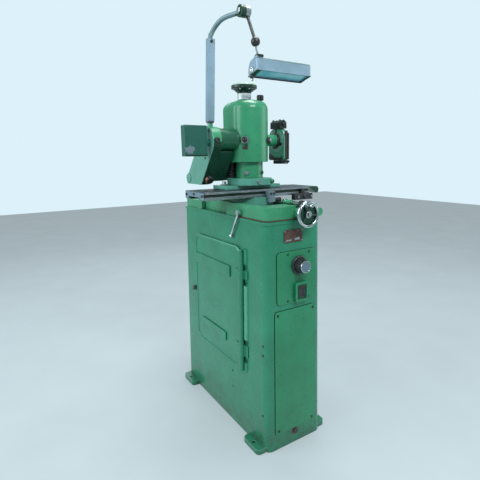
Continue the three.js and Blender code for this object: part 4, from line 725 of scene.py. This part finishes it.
for material, inner, outer, depth in ((BLUEGREY, -1, 20.7, 42), (WHEEL_RIM, 20.6, 24.8, 42.5), (OILED, 31, 99, 7)):
    repaint(dial, material, lambda p, n: inner < from_dial(p)[0] < outer and from_dial(p)[1] > depth)
detail("dial_ticks", aimed(merge(*ticks), DIAL, FRONT_NORMAL), BRIGHT, "rotary_switch")
pointer = prism("z", [(-1.6, 8), (1.6, 8), (0.8, 19), (-0.8, 19)], 42.8, 44.2)
detail("dial_pointer", aimed(ease(pointer, 0.3), DIAL, FRONT_NORMAL), BRIGHT, "rotary_switch")

bezel = dress("switch_bezel", FRONT, 2, 3)
repaint(bezel, SHADE, lambda p, n: 8 < p.x < 35 and 655 < p.z < 699 and p.y > front_y(p.z, 13.5))
window = carved(
    prism("y", rounded(1, 47, 644, 702, 3, 4), 0, 0.8), prism("y", rounded(9.2, 33.8, 651, 700, 1, 3), -3, 3),
)
detail("bezel_window", on_front(window, 20.6, -1), SHADE, "switch_bezel")
dress_all(("rocker_key", KNOB, 1.4, 3), ("drain_plug", WORN, 1))
washer = turned("z", [(0, 0), (16.5, 0), (16.5, 1.6), (0, 1.6)], 0.5, count=40)
detail("drain_washer", aimed(washer, (0, front_y(52, -0.6), 52), FRONT_NORMAL), COPPER, "cabinet")

# Bed, cross feed and slides

bed = dress("bed_casting", BED, 3, 3)
repaint(bed, BED_TOP, lambda p, n: n.z > 0.85 and p.y > -150)
rust = carved(
    prism("z", rounded(-135, 135, -367, 100, 35, 12), 963, 968),
    prism("z", rounded(-133.2, 133.2, -365.2, 120, 33, 12), 960, 970),
    prism("z", rounded(-200, 200, -150, 200, 5, 2), 960, 970),
)
detail("bed_rust", rust, RUST, "bed_casting")
dress_all(("bed_clamp_lever", CHROME, 0.6), ("feed_screw", BRIGHT, 0.8))

WHEEL = Vector((22, -420, 987))
hub = [(7.4, -9), (11, -10), (15, -6), (15, 18), (11, 34), (7.4, 35), (7.4, -9)]
hub = turned("y", [(radius, WHEEL.y + along) for radius, along in hub], 1, (WHEEL.x, 0, WHEEL.z), 48)
ways = [Vector((cos(radians(turn)), 0, sin(radians(turn)))) for turn in (112, 232, 352)]
arms = [tube([WHEEL + way * reach for reach in (8, 20, 44)], [7.5, 6, 5], 16) for way in ways]
seat = lathe("y", [(3.6, -9), (9, -9), (9, 9), (3.6, 9), (3.6, -9)], WHEEL + ways[0] * 40, 32)
web = lathe("y", [(14, 3), (41, 3), (41, 6), (14, 6), (14, 3)], WHEEL)
ring = torus("y", WHEEL, 45.5, 6.5, 8, 112, 24)
wheel = for_node("front_handwheel", merge(ring, hub, *arms, seat, web), WHEEL_RIM)
repaint(wheel, DEEP, lambda p, n: 13 < hypot(p.x - WHEEL.x, p.z - WHEEL.z) < 41 and p.y > WHEEL.y - 8.5)
dress("crank_handle", BRIGHT, 0.8)
repaint(dress("stop_spindle", KNOB, 1), BRIGHT, lambda p, n: p.y > -372)
detail("stop_grip", aimed(grip(13.4, 15, 1, 18), (22, -375, 1024), FORWARD), KNOB, "stop_spindle")
dress("cross_slide", IRON, 1)
for y in (-190, -130, -20, 45):
    detail(f"gib_screw_{y + 200}", slotted_screw((-98, y, 984), LEFT, 5, y), OILED, "cross_slide")
dress("turntable", BASE, 1.5)

TABLE_FRONT, SLOT_LOW, SLOT_HIGH = -149, 1047.2, 1057.8
table = dress("table", IRON, 0.8)
# Painted shade: the faces of the groove in the table's front get the near-black joint enamel.
repaint(table, SHADE, lambda p, n: SLOT_LOW < p.z < SLOT_HIGH and -149.5 < p.y < -140 and -273 < p.x < 260)
repaint(table, STEEL, lambda p, n: n.y < -0.6 and not SLOT_LOW < p.z < SLOT_HIGH and p.y < TABLE_FRONT)
end_plate = carved(
    slab("x", (-147, 25, 1036, 1065, 3, 5), -277, -274, 0.8),
    prism("x", rounded(-114, -8, 1030, 1046, 2, 4), -280, -270),
    prism("x", rounded(-152, -141, 1047, 1058, 1, 3), -280, -270),
)
detail("table_end_plate", end_plate, CHIPPED, "table")
for y, z in ((-134, 1052), (12, 1052), (-61, 1057)):
    detail(f"end_plate_screw_{y + 200}", cap_screw((-277, y, z), LEFT, 5, 4), BLACK, "table")
dress_all(("table_end_cap", DEEP, 2.5, 4), ("stop_dog", CHIPPED, 1))
for x in (24.5, 40.5):
    detail(f"dog_screw_{x:.0f}", cap_screw((x, -177.3, 1049), FORWARD, 5, 4), BLACK, "stop_dog")
dress("stop_screw", KNOB, 0.8)
detail("stop_screw_grip", aimed(grip(9.2, 12, 0.8, 14), (64, -169, 1022), (1, 0, 0)), KNOB, "stop_screw")
dress("end_stop", OILED, 1)
for x in (172, 248):
    detail(f"end_stop_screw_{x}", cap_screw((x, -182.3, 1026), FORWARD, 5, 4), STEEL, "end_stop")

# Head: base, flange and column

dress_all(
    ("head_base", BASE, 1.5, 3), ("head_flange", BASE, 2.4, 4), ("clamp_nut_left", STEEL, 0.8),
    ("clamp_nut_right", STEEL, 0.8),
)
detail("flange_screw_front", cap_screw((-7.6, -136, 1098), FORWARD, 8, 7), BRIGHT, "head_flange")
STUD_NORMAL = (0.707, -0.707, 0)
stud = turned("z", [(0, 0), (10.5, 0), (10.5, 9), (8, 12), (0, 12)], 1.2, count=36)
detail("flange_stud", aimed(stud, (68, -118, 1098), STUD_NORMAL), PAINT, "head_flange")
detail("flange_stud_end", cap_screw((76.2, -126.2, 1098), STUD_NORMAL, 5.5, 3), BLACK, "head_flange")

COLUMN_Y, COLUMN_RADIUS = -50, 59
LIFT_Y = -15
column = [(0, 1104.6), (COLUMN_RADIUS, 1104.6), (COLUMN_RADIUS, 1250), (0, 1250)]
column = turned("z", column, 0.8, (0, COLUMN_Y, 0), 112)
for_node("column", carved(column, rod("z", 0, LIFT_Y, 10.6, 40, 1140, 1260)), PAINT)
for name, angle, radius, material in (("left", radians(-133), 9.5, STEEL), ("right", radians(-62), 8, BLACK)):
    normal = (cos(angle), sin(angle), 0)
    reach = COLUMN_RADIUS - 2
    place = (reach * normal[0], COLUMN_Y + reach * normal[1], 1136)
    pad = turned("z", [(0, 0), (radius + 3, 0), (radius + 1, 4), (0, 4)], 1.4, count=36)
    detail(f"column_pad_{name}", aimed(pad, place, normal), PAINT, "column")
    place = tuple(a + 4 * b for a, b in zip(place, normal))
    detail(f"column_bolt_{name}", hex_head(place, normal, radius, 6), material, "column")

ribs = [(0, 1104.6)]
for step in range(11):
    low = 1106 + step * 9.4
    ribs += [(13.2, low), (16, low + 2.2), (16, low + 5.6), (13.2, low + 8)]
ribs += [(14, 1222), (14, 1225), (0, 1225)]
DUST_TUBE = (-60, 1)
for_node("dust_tube", lathe("z", ribs, (*DUST_TUBE, 0), 48), BLACK)

# Head housing, its wheel and knobs

HEAD_Y, HEAD_BACK, HEAD_REACH, HEAD_LOW, HEAD_TOP, SHOULDER = -45, 28, 85, 1181, 1437, 38
SPINDLE, LIFT, LOCK = (0, HEAD_Y, 1275), (0, LIFT_Y, 0), (57, -55)


def housing_ring(shrink, z, ridge=0):
    reach = HEAD_REACH - shrink
    back = HEAD_BACK - shrink
    side = [(-reach, back - 6), (-reach, -18), (-reach - ridge, -21), (-reach - ridge, -38), (-reach, -41)]
    outline = arc(reach - 6, back - 6, 6, 0, 90, 5) + arc(-reach + 6, back - 6, 6, 90, 180, 5)[:-1] + side
    outline += arc(0, HEAD_Y, reach, 182, 360, 72)
    return [(u, v, z) for u, v in outline]


def on_head(turn, z):
    """A place on the round front of the housing and its normal."""
    normal = (cos(radians(turn)), sin(radians(turn)), 0)
    return (HEAD_REACH * normal[0], HEAD_Y + HEAD_REACH * normal[1], z), normal


rings = [housing_ring(3, HEAD_LOW), housing_ring(0.8, HEAD_LOW + 0.9, 1.4)]
rings += [housing_ring(0, z, 1.6) for z in (HEAD_LOW + 3, 1300, 1380)]
for angle in spaced(0, pi / 2, 14):
    z = HEAD_TOP - SHOULDER + SHOULDER * sin(angle)
    rings.append(housing_ring(SHOULDER * (1 - cos(angle)), z, 1.6 * cos(angle)))
collar = turned("z", [
    (0, 1420), (36, 1420), (36, 1440), (31, 1444), (30, 1447), (30, 1470), (28.6, 1471), (0, 1471),
], 1.5, LIFT)
wheel_tube = turned("x", [
    (0, 40), (29, 40), (29, 90), (25, 96), (25, 140), (31, 142), (31, 149), (29, 150), (0, 150),
], 1.5, SPINDLE)
BORES = (
    ("z", 0, COLUMN_Y, 59.6, 112, 1170, 1252), ("z", *DUST_TUBE, 17.2, 40, 1170, 1228),
    ("z", *LOCK, 7.6, 32, 1410, 1445), ("z", 0, LIFT_Y, 10.6, 40, 1240, 1480), ("x", *SPINDLE[1:], 12.6, 40, -90, 160),
)
housing = carved(skin(rings), collar, wheel_tube, operation="UNION")
housing = for_node("head_housing", carved(housing, *(rod(*bore) for bore in BORES)), PAINT)
repaint(housing, NECK, lambda p, n: p.z > 1444.5)
repaint(housing, WORN, lambda p, n: p.x > 138)

topwheel = turned("z", [
    (0, 1471.6), (17, 1471.6), (31, 1473), (33, 1477), (44, 1487), (53, 1489), (56, 1492), (56, 1503.5), (52.5, 1507.3),
    (48, 1507.3), (44.5, 1503), (40, 1498), (20, 1495.5), (17, 1500), (12, 1502), (0, 1502),
], 1.2, LIFT, 112)
holes = [rod("z", 36 * cos(a), LIFT_Y + 36 * sin(a), 5.5, 24, 1465, 1512) for a in turns(7, 0.5)]
holes.append(rod("z", 45, LIFT_Y, 3.6, 24, 1480, 1515))
lift_screw = lathe("z", [(0, 1150), (10, 1150), (10, 1476), (0, 1476)], LIFT, 36)
# Painted shade and highlight: the wheel is a near-black green for the shade on its underside, and its top rim is a pale
# rubbed paint that also stands in for light on top.
topwheel = for_node("lift_handwheel", merge(carved(topwheel, *holes), lift_screw), SHADED_WHEEL)
repaint(topwheel, RIM, lambda p, n: p.z > 1502 and hypot(p.x, p.y - LIFT_Y) > 44)
studs = [aimed(
    turned("z", [(0, -2), (4.6, -2), (4.6, 1.2), (2.6, 2.6), (0, 2.9)], 0.8, count=20),
    (44.5 * cos(a), LIFT_Y + 44.5 * sin(a), 1486), (cos(a) * 0.62, sin(a) * 0.62, -0.78),
) for a in (angle + 0.2 for angle in turns(7))]
detail("wheel_studs", merge(*studs), BRIGHT, "lift_handwheel")
repaint(topwheel, BRIGHT, lambda p, n: p.z < 1475 and hypot(p.x, p.y - LIFT_Y) < 11)
for_node("lift_spinner", turned("z", [
    (0, 1482), (3, 1482), (3, 1507.6), (5.5, 1507.6), (6.6, 1513), (4.2, 1520), (3.8, 1524), (6.2, 1532), (6.8, 1539),
    (5, 1544.5), (0, 1545.6),
], 1.2, (45, LIFT_Y, 0), 32), CHROME)

lock_stem = lathe("z", [(0, 1416), (7, 1416), (7, 1443), (0, 1443)], (*LOCK, 0), 32)
lock_grip = aimed(grip(15, 22, 1.3, 14, 3), (*LOCK, 1442), UP)
for_node("locking_knob", merge(lock_grip, lock_stem), KNOB)

cup = turned("z", [
    (0, -8), (6.8, -8), (6.8, 0.3), (16, 0.3), (16, 7.5), (14.8, 10.6), (12.6, 10.9), (11.2, 9.6), (10.4, 6.4),
    (0, 6.4),
], 0.6, count=64)
SIGHT, GREASE_CAP = on_head(-132, 1272), on_head(-48, 1272)
for_node("sight_knob", aimed(cup, *SIGHT), CUP)
glass = lathe("z", [(0, 6.5), (10.3, 6.5), (9.2, 7.8), (5.4, 8.9), (0, 9.3)], count=48)
detail("sight_glass", aimed(glass, *SIGHT), BLACK, "sight_knob")
detail("grease_cap", aimed(grip(14.5, 13, 1.2, 16), *GREASE_CAP), KNOB, "head_housing")
tip = turned("z", [(0, 12.6), (6.5, 12.6), (6.5, 16), (4.5, 18), (0, 18.4)], 0.8, count=36)
detail("grease_cap_tip", aimed(tip, *GREASE_CAP), CHROME, "head_housing")
worn = ragged(
    20, ((13, -1.5), (12.4, 0.5)), lambda a: 1 + 0.18 * sin(3 * a) + 0.1 * cos(5 * a),
    lambda u, v, w: (u, v * 0.8, w),
)
detail("worn_patch", aimed(worn, *on_head(-131, 1243)), WORN, "head_housing")

# Spindle, wheel guard and dresser

barrel = turned("x", [
    (12.6, -160), (48, -160), (48, -148), (46, -146), (46, -84), (50, -80), (50, -40), (12.6, -40), (12.6, -160),
], 1.2, SPINDLE, 112)
# Painted shade: the barrel is a darker copy of the head's green, standing in for the shade it sits in.
for_node("spindle_barrel", carved(barrel, skin([housing_ring(-0.4, z) for z in (1185, 1395)])), BARREL)
dress_all(
    ("spindle", BRIGHT, 0.8), ("spindle_pulley", BRIGHT, 0.5), ("grinding_wheel", STONE, 0.6),
    ("wheel_guard", GUARD, 3, 4),
)
detail("guard_edge", slab("z", (171.5, 178, -106.5, -99, 1.5, 3), 1190, 1306, 0.8), BLACK, "wheel_guard")
# Painted light: the left face of the guard is a much paler green than the guard, for light that the housing keeps off
# it.
disc = turned("x", [(14, 149), (50, 149), (52, 150.4), (14, 150.4), (14, 149)], 0.4, SPINDLE)
detail("guard_disc", disc, LIT_GUARD_FACE, "wheel_guard")
HUB_WEAR = [
    (-15, 1283), (-27, 1291), (-38, 1293), (-50, 1289), (-61, 1281), (-69, 1275), (-73, 1267), (-86, 1265), (-91, 1260),
    (-90, 1253), (-79, 1250), (-69, 1252), (-62, 1244), (-53, 1239), (-43, 1240), (-34, 1237), (-24, 1241), (-15, 1251),
    (-14, 1260), (-11, 1270),
]
FOOT_WEAR = [
    (11, 1214), (2, 1216), (-6, 1219), (-10, 1210), (-19, 1209), (-28, 1206), (-33, 1199), (-47, 1200), (-60, 1198),
    (-74, 1199), (-88, 1195), (-101, 1194), (-101, 1190), (-60, 1189), (-20, 1189), (11, 1190),
]
for name, outline, face in (("hub", HUB_WEAR, 149.2), ("foot", FOOT_WEAR, 150.4)):
    detail(f"guard_wear_{name}", prism("x", outline, face, face - 0.7), WORN, "wheel_guard")
detail("guard_front", slab("y", (154, 172, 1192, 1316, 2, 3), -103.6, -100.6, 0.8), WORN, "wheel_guard")
for y, z in ((-88, 1202), (-2, 1202), (-2, 1300)):
    detail(f"guard_screw_{y + 100}_{z}", slotted_screw((150.3, y, z), LEFT, 5, z), BLACK, "wheel_guard")
dress("dresser_block", BLACK, 2.2, 3)
for x, y in ((153, -70), (173, -70), (153, -20), (173, -20)):
    detail(f"dresser_screw_{x}_{y + 100}", cap_screw((x, y, 1362), UP, 4.6, 4), PAINT, "dresser_block")
detail("dresser_knob", aimed(grip(8, 9, 0.8, 12), (163, -82, 1345), FORWARD), BLACK, "dresser_block")
dress("rest_bracket", BLACK, 1.6, 3)
detail("rest_screw", cap_screw((163, -96, 1178), FORWARD, 5, 4), CHROME, "rest_bracket")

# Belt guard and motor

GUARD_STEP = 1262
# Painted light and shade: the left faces, lid and cap are a pale copy of the green for the light on them, and the faces
# to the front and right below the step are a near-black green for the shade on them.
guard = dress("belt_guard", LIT_GUARD_SIDE, 2, 3)
repaint(guard, DEEP, lambda p, n: n.y < -0.45 and p.z < GUARD_STEP or n.x > 0.6 and p.z < 1240)
repaint(guard, PAINT, lambda p, n: p.z >= GUARD_STEP and p.x > -190)
dress("belt_guard_lid", LIT_GUARD_SIDE, 1.4, 3)
cap = turned("x", [(0, -204.6), (19, -204.6), (22, -202), (22, -199.5), (0, -199.5)], 1.2, (0, 152, 1112), 48)
detail("lid_cap", cap, LIT_GUARD_SIDE, "belt_guard_lid")
for y, z in ((-60, 1310), (5, 1105), (60, 1240), (-20, 1200)):
    detail(f"lid_screw_{y + 100}_{z}", slotted_screw((-199.6, y, z), LEFT, 5, z), OILED, "belt_guard_lid")
seat = turned("y", [(0, -99), (13, -99), (13, -97), (0, -97)], 0.4, (-186, 0, 1270), 40)
detail("guard_knob_seat", seat, PAINT, "belt_guard")
detail("guard_knob", aimed(grip(11.5, 14, 1, 14), (-186, -99, 1270), FORWARD), KNOB, "belt_guard")
detail("barrel_saddle", slab("x", (-62, -28, 1214, 1229, 3, 4), -159, -93, 0.8), DEEP, "belt_guard")
dress("motor", BLACK, 2, 3)
fins = [torus("x", (x, 98, 1148), 50.5, 1.6, 1.3, 72, 10) for x in range(-132, 50, 13)]
detail("motor_ribs", merge(*fins), BLACK, "motor")
dress_all(("motor_shaft", BRIGHT, 0.5), ("motor_pulley", BRIGHT, 0.5), ("drive_belt", RUBBER, 0.6))
# Painted highlight: the knob's left faces are given copper.
repaint(dress("tension_knob", KNOB, 1.2, 3), COPPER, lambda p, n: n.x < -0.55 and p.x < -184)

# Lamp

dress("lamp_supply_box", BOX, 2, 3)
detail("box_edge", slab("y", (-313.4, -214.6, 1207.6, 1213, 2, 3), -75.6, -41.4, 0.6), SHADE, "lamp_supply_box")
bare = ragged(
    36, ((1, -0.5), (0.98, 0.35)),
    lambda a: 1 + 0.22 * sin(2 * a + 1) + 0.14 * sin(5 * a) + 0.07 * cos(9 * a),
    lambda u, v, w: (-293 + 17 * u, -75 - w, 1232 + 19 * v),
)
detail("box_bare_patch", bare, BARE, "lamp_supply_box")
for x, z in ((-306, 1320), (-222, 1320), (-306, 1220), (-222, 1220)):
    detail(f"box_screw_{-x}_{z}", slotted_screw((x, -75, z), FORWARD, 4, x), BOX, "lamp_supply_box")

dress("lamp_post", GREY, 2.2, 3)
arm = dress("lamp_arm", ARM, 0.4, angle=60, flat=0.2)
repaint(arm, DEEP, lambda p, n: p.x > -126 and p.y < -166)
drop = dress("lamp_drop", OILED, 0.5, angle=60, flat=0.2)
repaint(drop, STEEL, lambda p, n: p.z > 1706 and p.y > -213)
repaint(drop, KNOB, lambda p, n: p.z < 1630)
for x, way, radius, node in ((-125, -1, 12, "lamp_arm"), (-85, 1, 10, "lamp_drop")):
    detail(f"elbow_bolt_{-x}", hex_head((x, -190, 1729), (way, 0, 0), radius, 7), CHROME, node)
detail("post_bolt", hex_head((-171, -54, 1650), FORWARD, 6, 5), OILED, "lamp_post")
foot_ring = [(11.6, 1340), (16, 1340), (16, 1347), (11.6, 1347), (11.6, 1340)]
detail("post_foot_ring", turned("z", foot_ring, 0.8, (-185, -45, 0), 40), OILED, "lamp_post")

LAMP_FRONT, LAMP_BACK, LAMP_LOW, LAMP_HIGH = -256, -190, 1518, 1564


def hood_ring(inset, x, wall=0):
    front, back = LAMP_FRONT + inset + wall, LAMP_BACK - inset - wall
    top = LAMP_HIGH - inset * 0.7 - wall
    start, control, end = (front + 20, top), (back, top - 2), (back, LAMP_LOW + 2)
    curve = [
        tuple((1 - t) ** 2 * a + 2 * t * (1 - t) * b + t ** 2 * c for a, b, c in zip(start, control, end))
        for t in spaced(0, 1, 12)
    ]
    profile = [(front, LAMP_LOW)] + arc(front + 9, top - 9, 9, 180, 90, 7) + curve + [(back, LAMP_LOW - 16)]
    return [(x, y, z) for y, z in profile]


def sloped(left, right, front, back, high, low, levels):
    """A four-cornered plate that falls from front to back."""
    corners = ((left, front, high), (right, front, high), (right, back, low), (left, back, low))
    return skin([[(x, y, z + level) for x, y, z in corners] for level in levels])


ends = ((7, 0), (3.4, 1.2), (1.2, 3.4), (0, 7))
outside = [hood_ring(inset, -92 + along) for inset, along in ends]
outside += [hood_ring(0, x) for x in (-40, 20, 80, 130)]
outside += [hood_ring(inset, 170 - along) for inset, along in reversed(ends)]
inside = skin([
    [(x, y, z - (2 if z < 1525 else 0)) for x, y, z in hood_ring(0, x, 2.6)] for x in (-89.4, 167.4)
])
room = carved(skin(outside), inside)
JOINT = (-100, -258, 1611)
stem = tube([JOINT, (-92, -251, 1589), (-82, -246, 1571), (-80, -244, 1560)], [5, 4, 4.4, 5])
ball = lathe("z", [(8.5 * sin(a), -8.5 * cos(a)) for a in spaced(0, pi, 12)], JOINT, 28)
pad = slab("z", (-92, -64, -254, -232, 4, 5), 1560, 1569, 1.5)
shell = for_node("lamp_shell", merge(room, stem, ball, pad), GREY)
# Painted reflection: the hood's upward faces are a darker grey.
repaint(shell, LAMP_TOP_REFLECTION, lambda p, n: n.z > 0.3 and p.z > 1540)
repaint(shell, BRIGHT, lambda p, n: p.z > 1569.5)
rim = carved(
    sloped(-91.4, 169.4, -255.8, -190.2, LAMP_LOW, LAMP_LOW - 16, (-0.8, 2.2)),
    sloped(-89, 166, -254, -194, LAMP_LOW, LAMP_LOW - 16, (-8, 12)),
)
detail("lamp_rim", ease(rim, 0.6), BLACK, "lamp_shell")
# Painted shade: a near-black sheet under the left end of the pane, standing in for the shade inside the hood.
detail("lamp_end_shade_sheet", sloped(-88.6, -62, -253, -193.5, 1524.4, 1508.2, (0, 1.2)), SHADE, "lamp_shell")
dress_all(("lamp_pane", GLASS, 0.5), ("lamp_tube", MILK, 0.8))
detail("lamp_pad_clamp", slab("z", (-90, -62, -257, -236, 3, 4), 1564, 1573, 1.2), BLACK, "lamp_shell")
nut = skin([
    [(x, -224 + r * 13 * cos(a) * abs(cos(a)) ** 0.4, 1520 + r * 15 * sin(a) * abs(sin(a)) ** 0.4) for a in turns(24)]
    for x, r in ((-92, 0.75), (-96, 0.75), (-100, 0.6), (-103, 0.2))
])
detail("lamp_end_nut", nut, CHROME, "lamp_shell")
end_clamp = turned("z", [(0, 1491), (5, 1491), (7, 1497), (7, 1503), (4, 1508), (0, 1508)], 1, (-96, -224, 0), 28)
detail("lamp_end_clamp", end_clamp, KNOB, "lamp_shell")

# Floor, surroundings and light, with places and sizes in metres

FLOOR_HALF, FLOOR_Z, FLOOR_COLOR = 9, -0.0005, (0.5, 0.58, 0.61)
g = fresh("floor_paint")
paint = g.mix(g.span(g.noise(3, 3, 0.5), 0.3, 0.7), tint(FLOOR_COLOR, 0.97), tint(FLOOR_COLOR, 1.02))
glow = g.node("Emission", {"Color": paint}).outputs["Emission"]
share = g.times(g.seen("Is Camera Ray", "Is Glossy Ray", "Is Transmission Ray"), 0.5)
floor_paint = g.finish(g.blend(share, g.surface(Base_Color=paint, Roughness=0.7), glow))

mesh = bpy.data.meshes.new("floor")
corners = [(FLOOR_HALF * x, FLOOR_HALF * y, FLOOR_Z) for x, y in ((-1, -1), (1, -1), (1, 1), (-1, 1))]
mesh.from_pydata(corners, [], [(0, 1, 2, 3)])
mesh.materials.append(floor_paint)
sheet = placed("floor", mesh)

g = Graph(bpy.data.worlds.new("studio"))
bpy.context.scene.world = g.owner
lit = g.node("Background", {"Color": (0.76, 0.92, 1), "Strength": 0.42}).outputs[0]
shown = g.node("Background", {"Color": (0.72, 0.88, 0.95), "Strength": 1}).outputs[0]
g.finish(g.blend(g.seen("Is Camera Ray", "Is Transmission Ray"), lit, shown), "World")

for name, place, aim, size, power, color in (
    ("window_left", (-3.2, 0.6, 2.4), 0.9, (3, 2.4), 100, (0.9, 0.98, 1)),
    ("ceiling_front", (-0.2, -2.7, 3.1), 1.1, (1.5, 0.7), 70, (0.94, 1, 1)),
    ("ceiling_top", (0.45, 0.05, 3.6), 1.2, (1.6, 1), 62, (0.95, 1, 1)),
    ("fill_back", (0.8, 3.2, 2.2), 0.9, (2.4, 2), 18, (0.93, 0.99, 1)),
    ("fill_right", (2.8, -1.2, 1.8), 0.8, (1.8, 2), 18, (0.95, 1, 1)),
):
    lamp = bpy.data.lights.new(name, "AREA")
    lamp.shape = "RECTANGLE"
    lamp.size, lamp.size_y = size
    lamp.energy, lamp.color = power, color
    holder = placed(name, lamp)
    holder.location = place
    holder.rotation_euler = (Vector((0, 0, aim)) - Vector(place)).to_track_quat("-Z", "Y").to_euler()

# The camera as solved from the photograph: degrees, millimetres, and pixels for focal length and image axis
EYE = (-966.583, -1556.464, 1198.82)
PHOTO_PIXELS, FOCAL_PIXELS, AXIS_PIXEL, SENSOR = 480, 398.647, 253.5, 36
yaw, pitch, roll = (radians(angle) for angle in (33.1396, 11.6471, -0.69664))
ahead = Vector((sin(yaw) * cos(pitch), cos(yaw) * cos(pitch), -sin(pitch)))
right = Vector((cos(yaw), -sin(yaw), 0))
up = right.cross(ahead)
right, up = cos(roll) * right + sin(roll) * up, cos(roll) * up - sin(roll) * right
camera = bpy.data.cameras.new("photo_camera")
camera.sensor_width = SENSOR
camera.lens = FOCAL_PIXELS / PHOTO_PIXELS * SENSOR
camera.shift_x = (PHOTO_PIXELS / 2 - AXIS_PIXEL) / PHOTO_PIXELS
camera.clip_end = 60
eye = placed("photo_camera", camera)
turn = Matrix((right, up, -ahead)).transposed().to_4x4()
eye.matrix_world = Matrix.Translation(Vector(EYE) * MM) @ turn
bpy.context.scene.camera = eye

bpy.context.scene.view_settings.view_transform = "Standard"
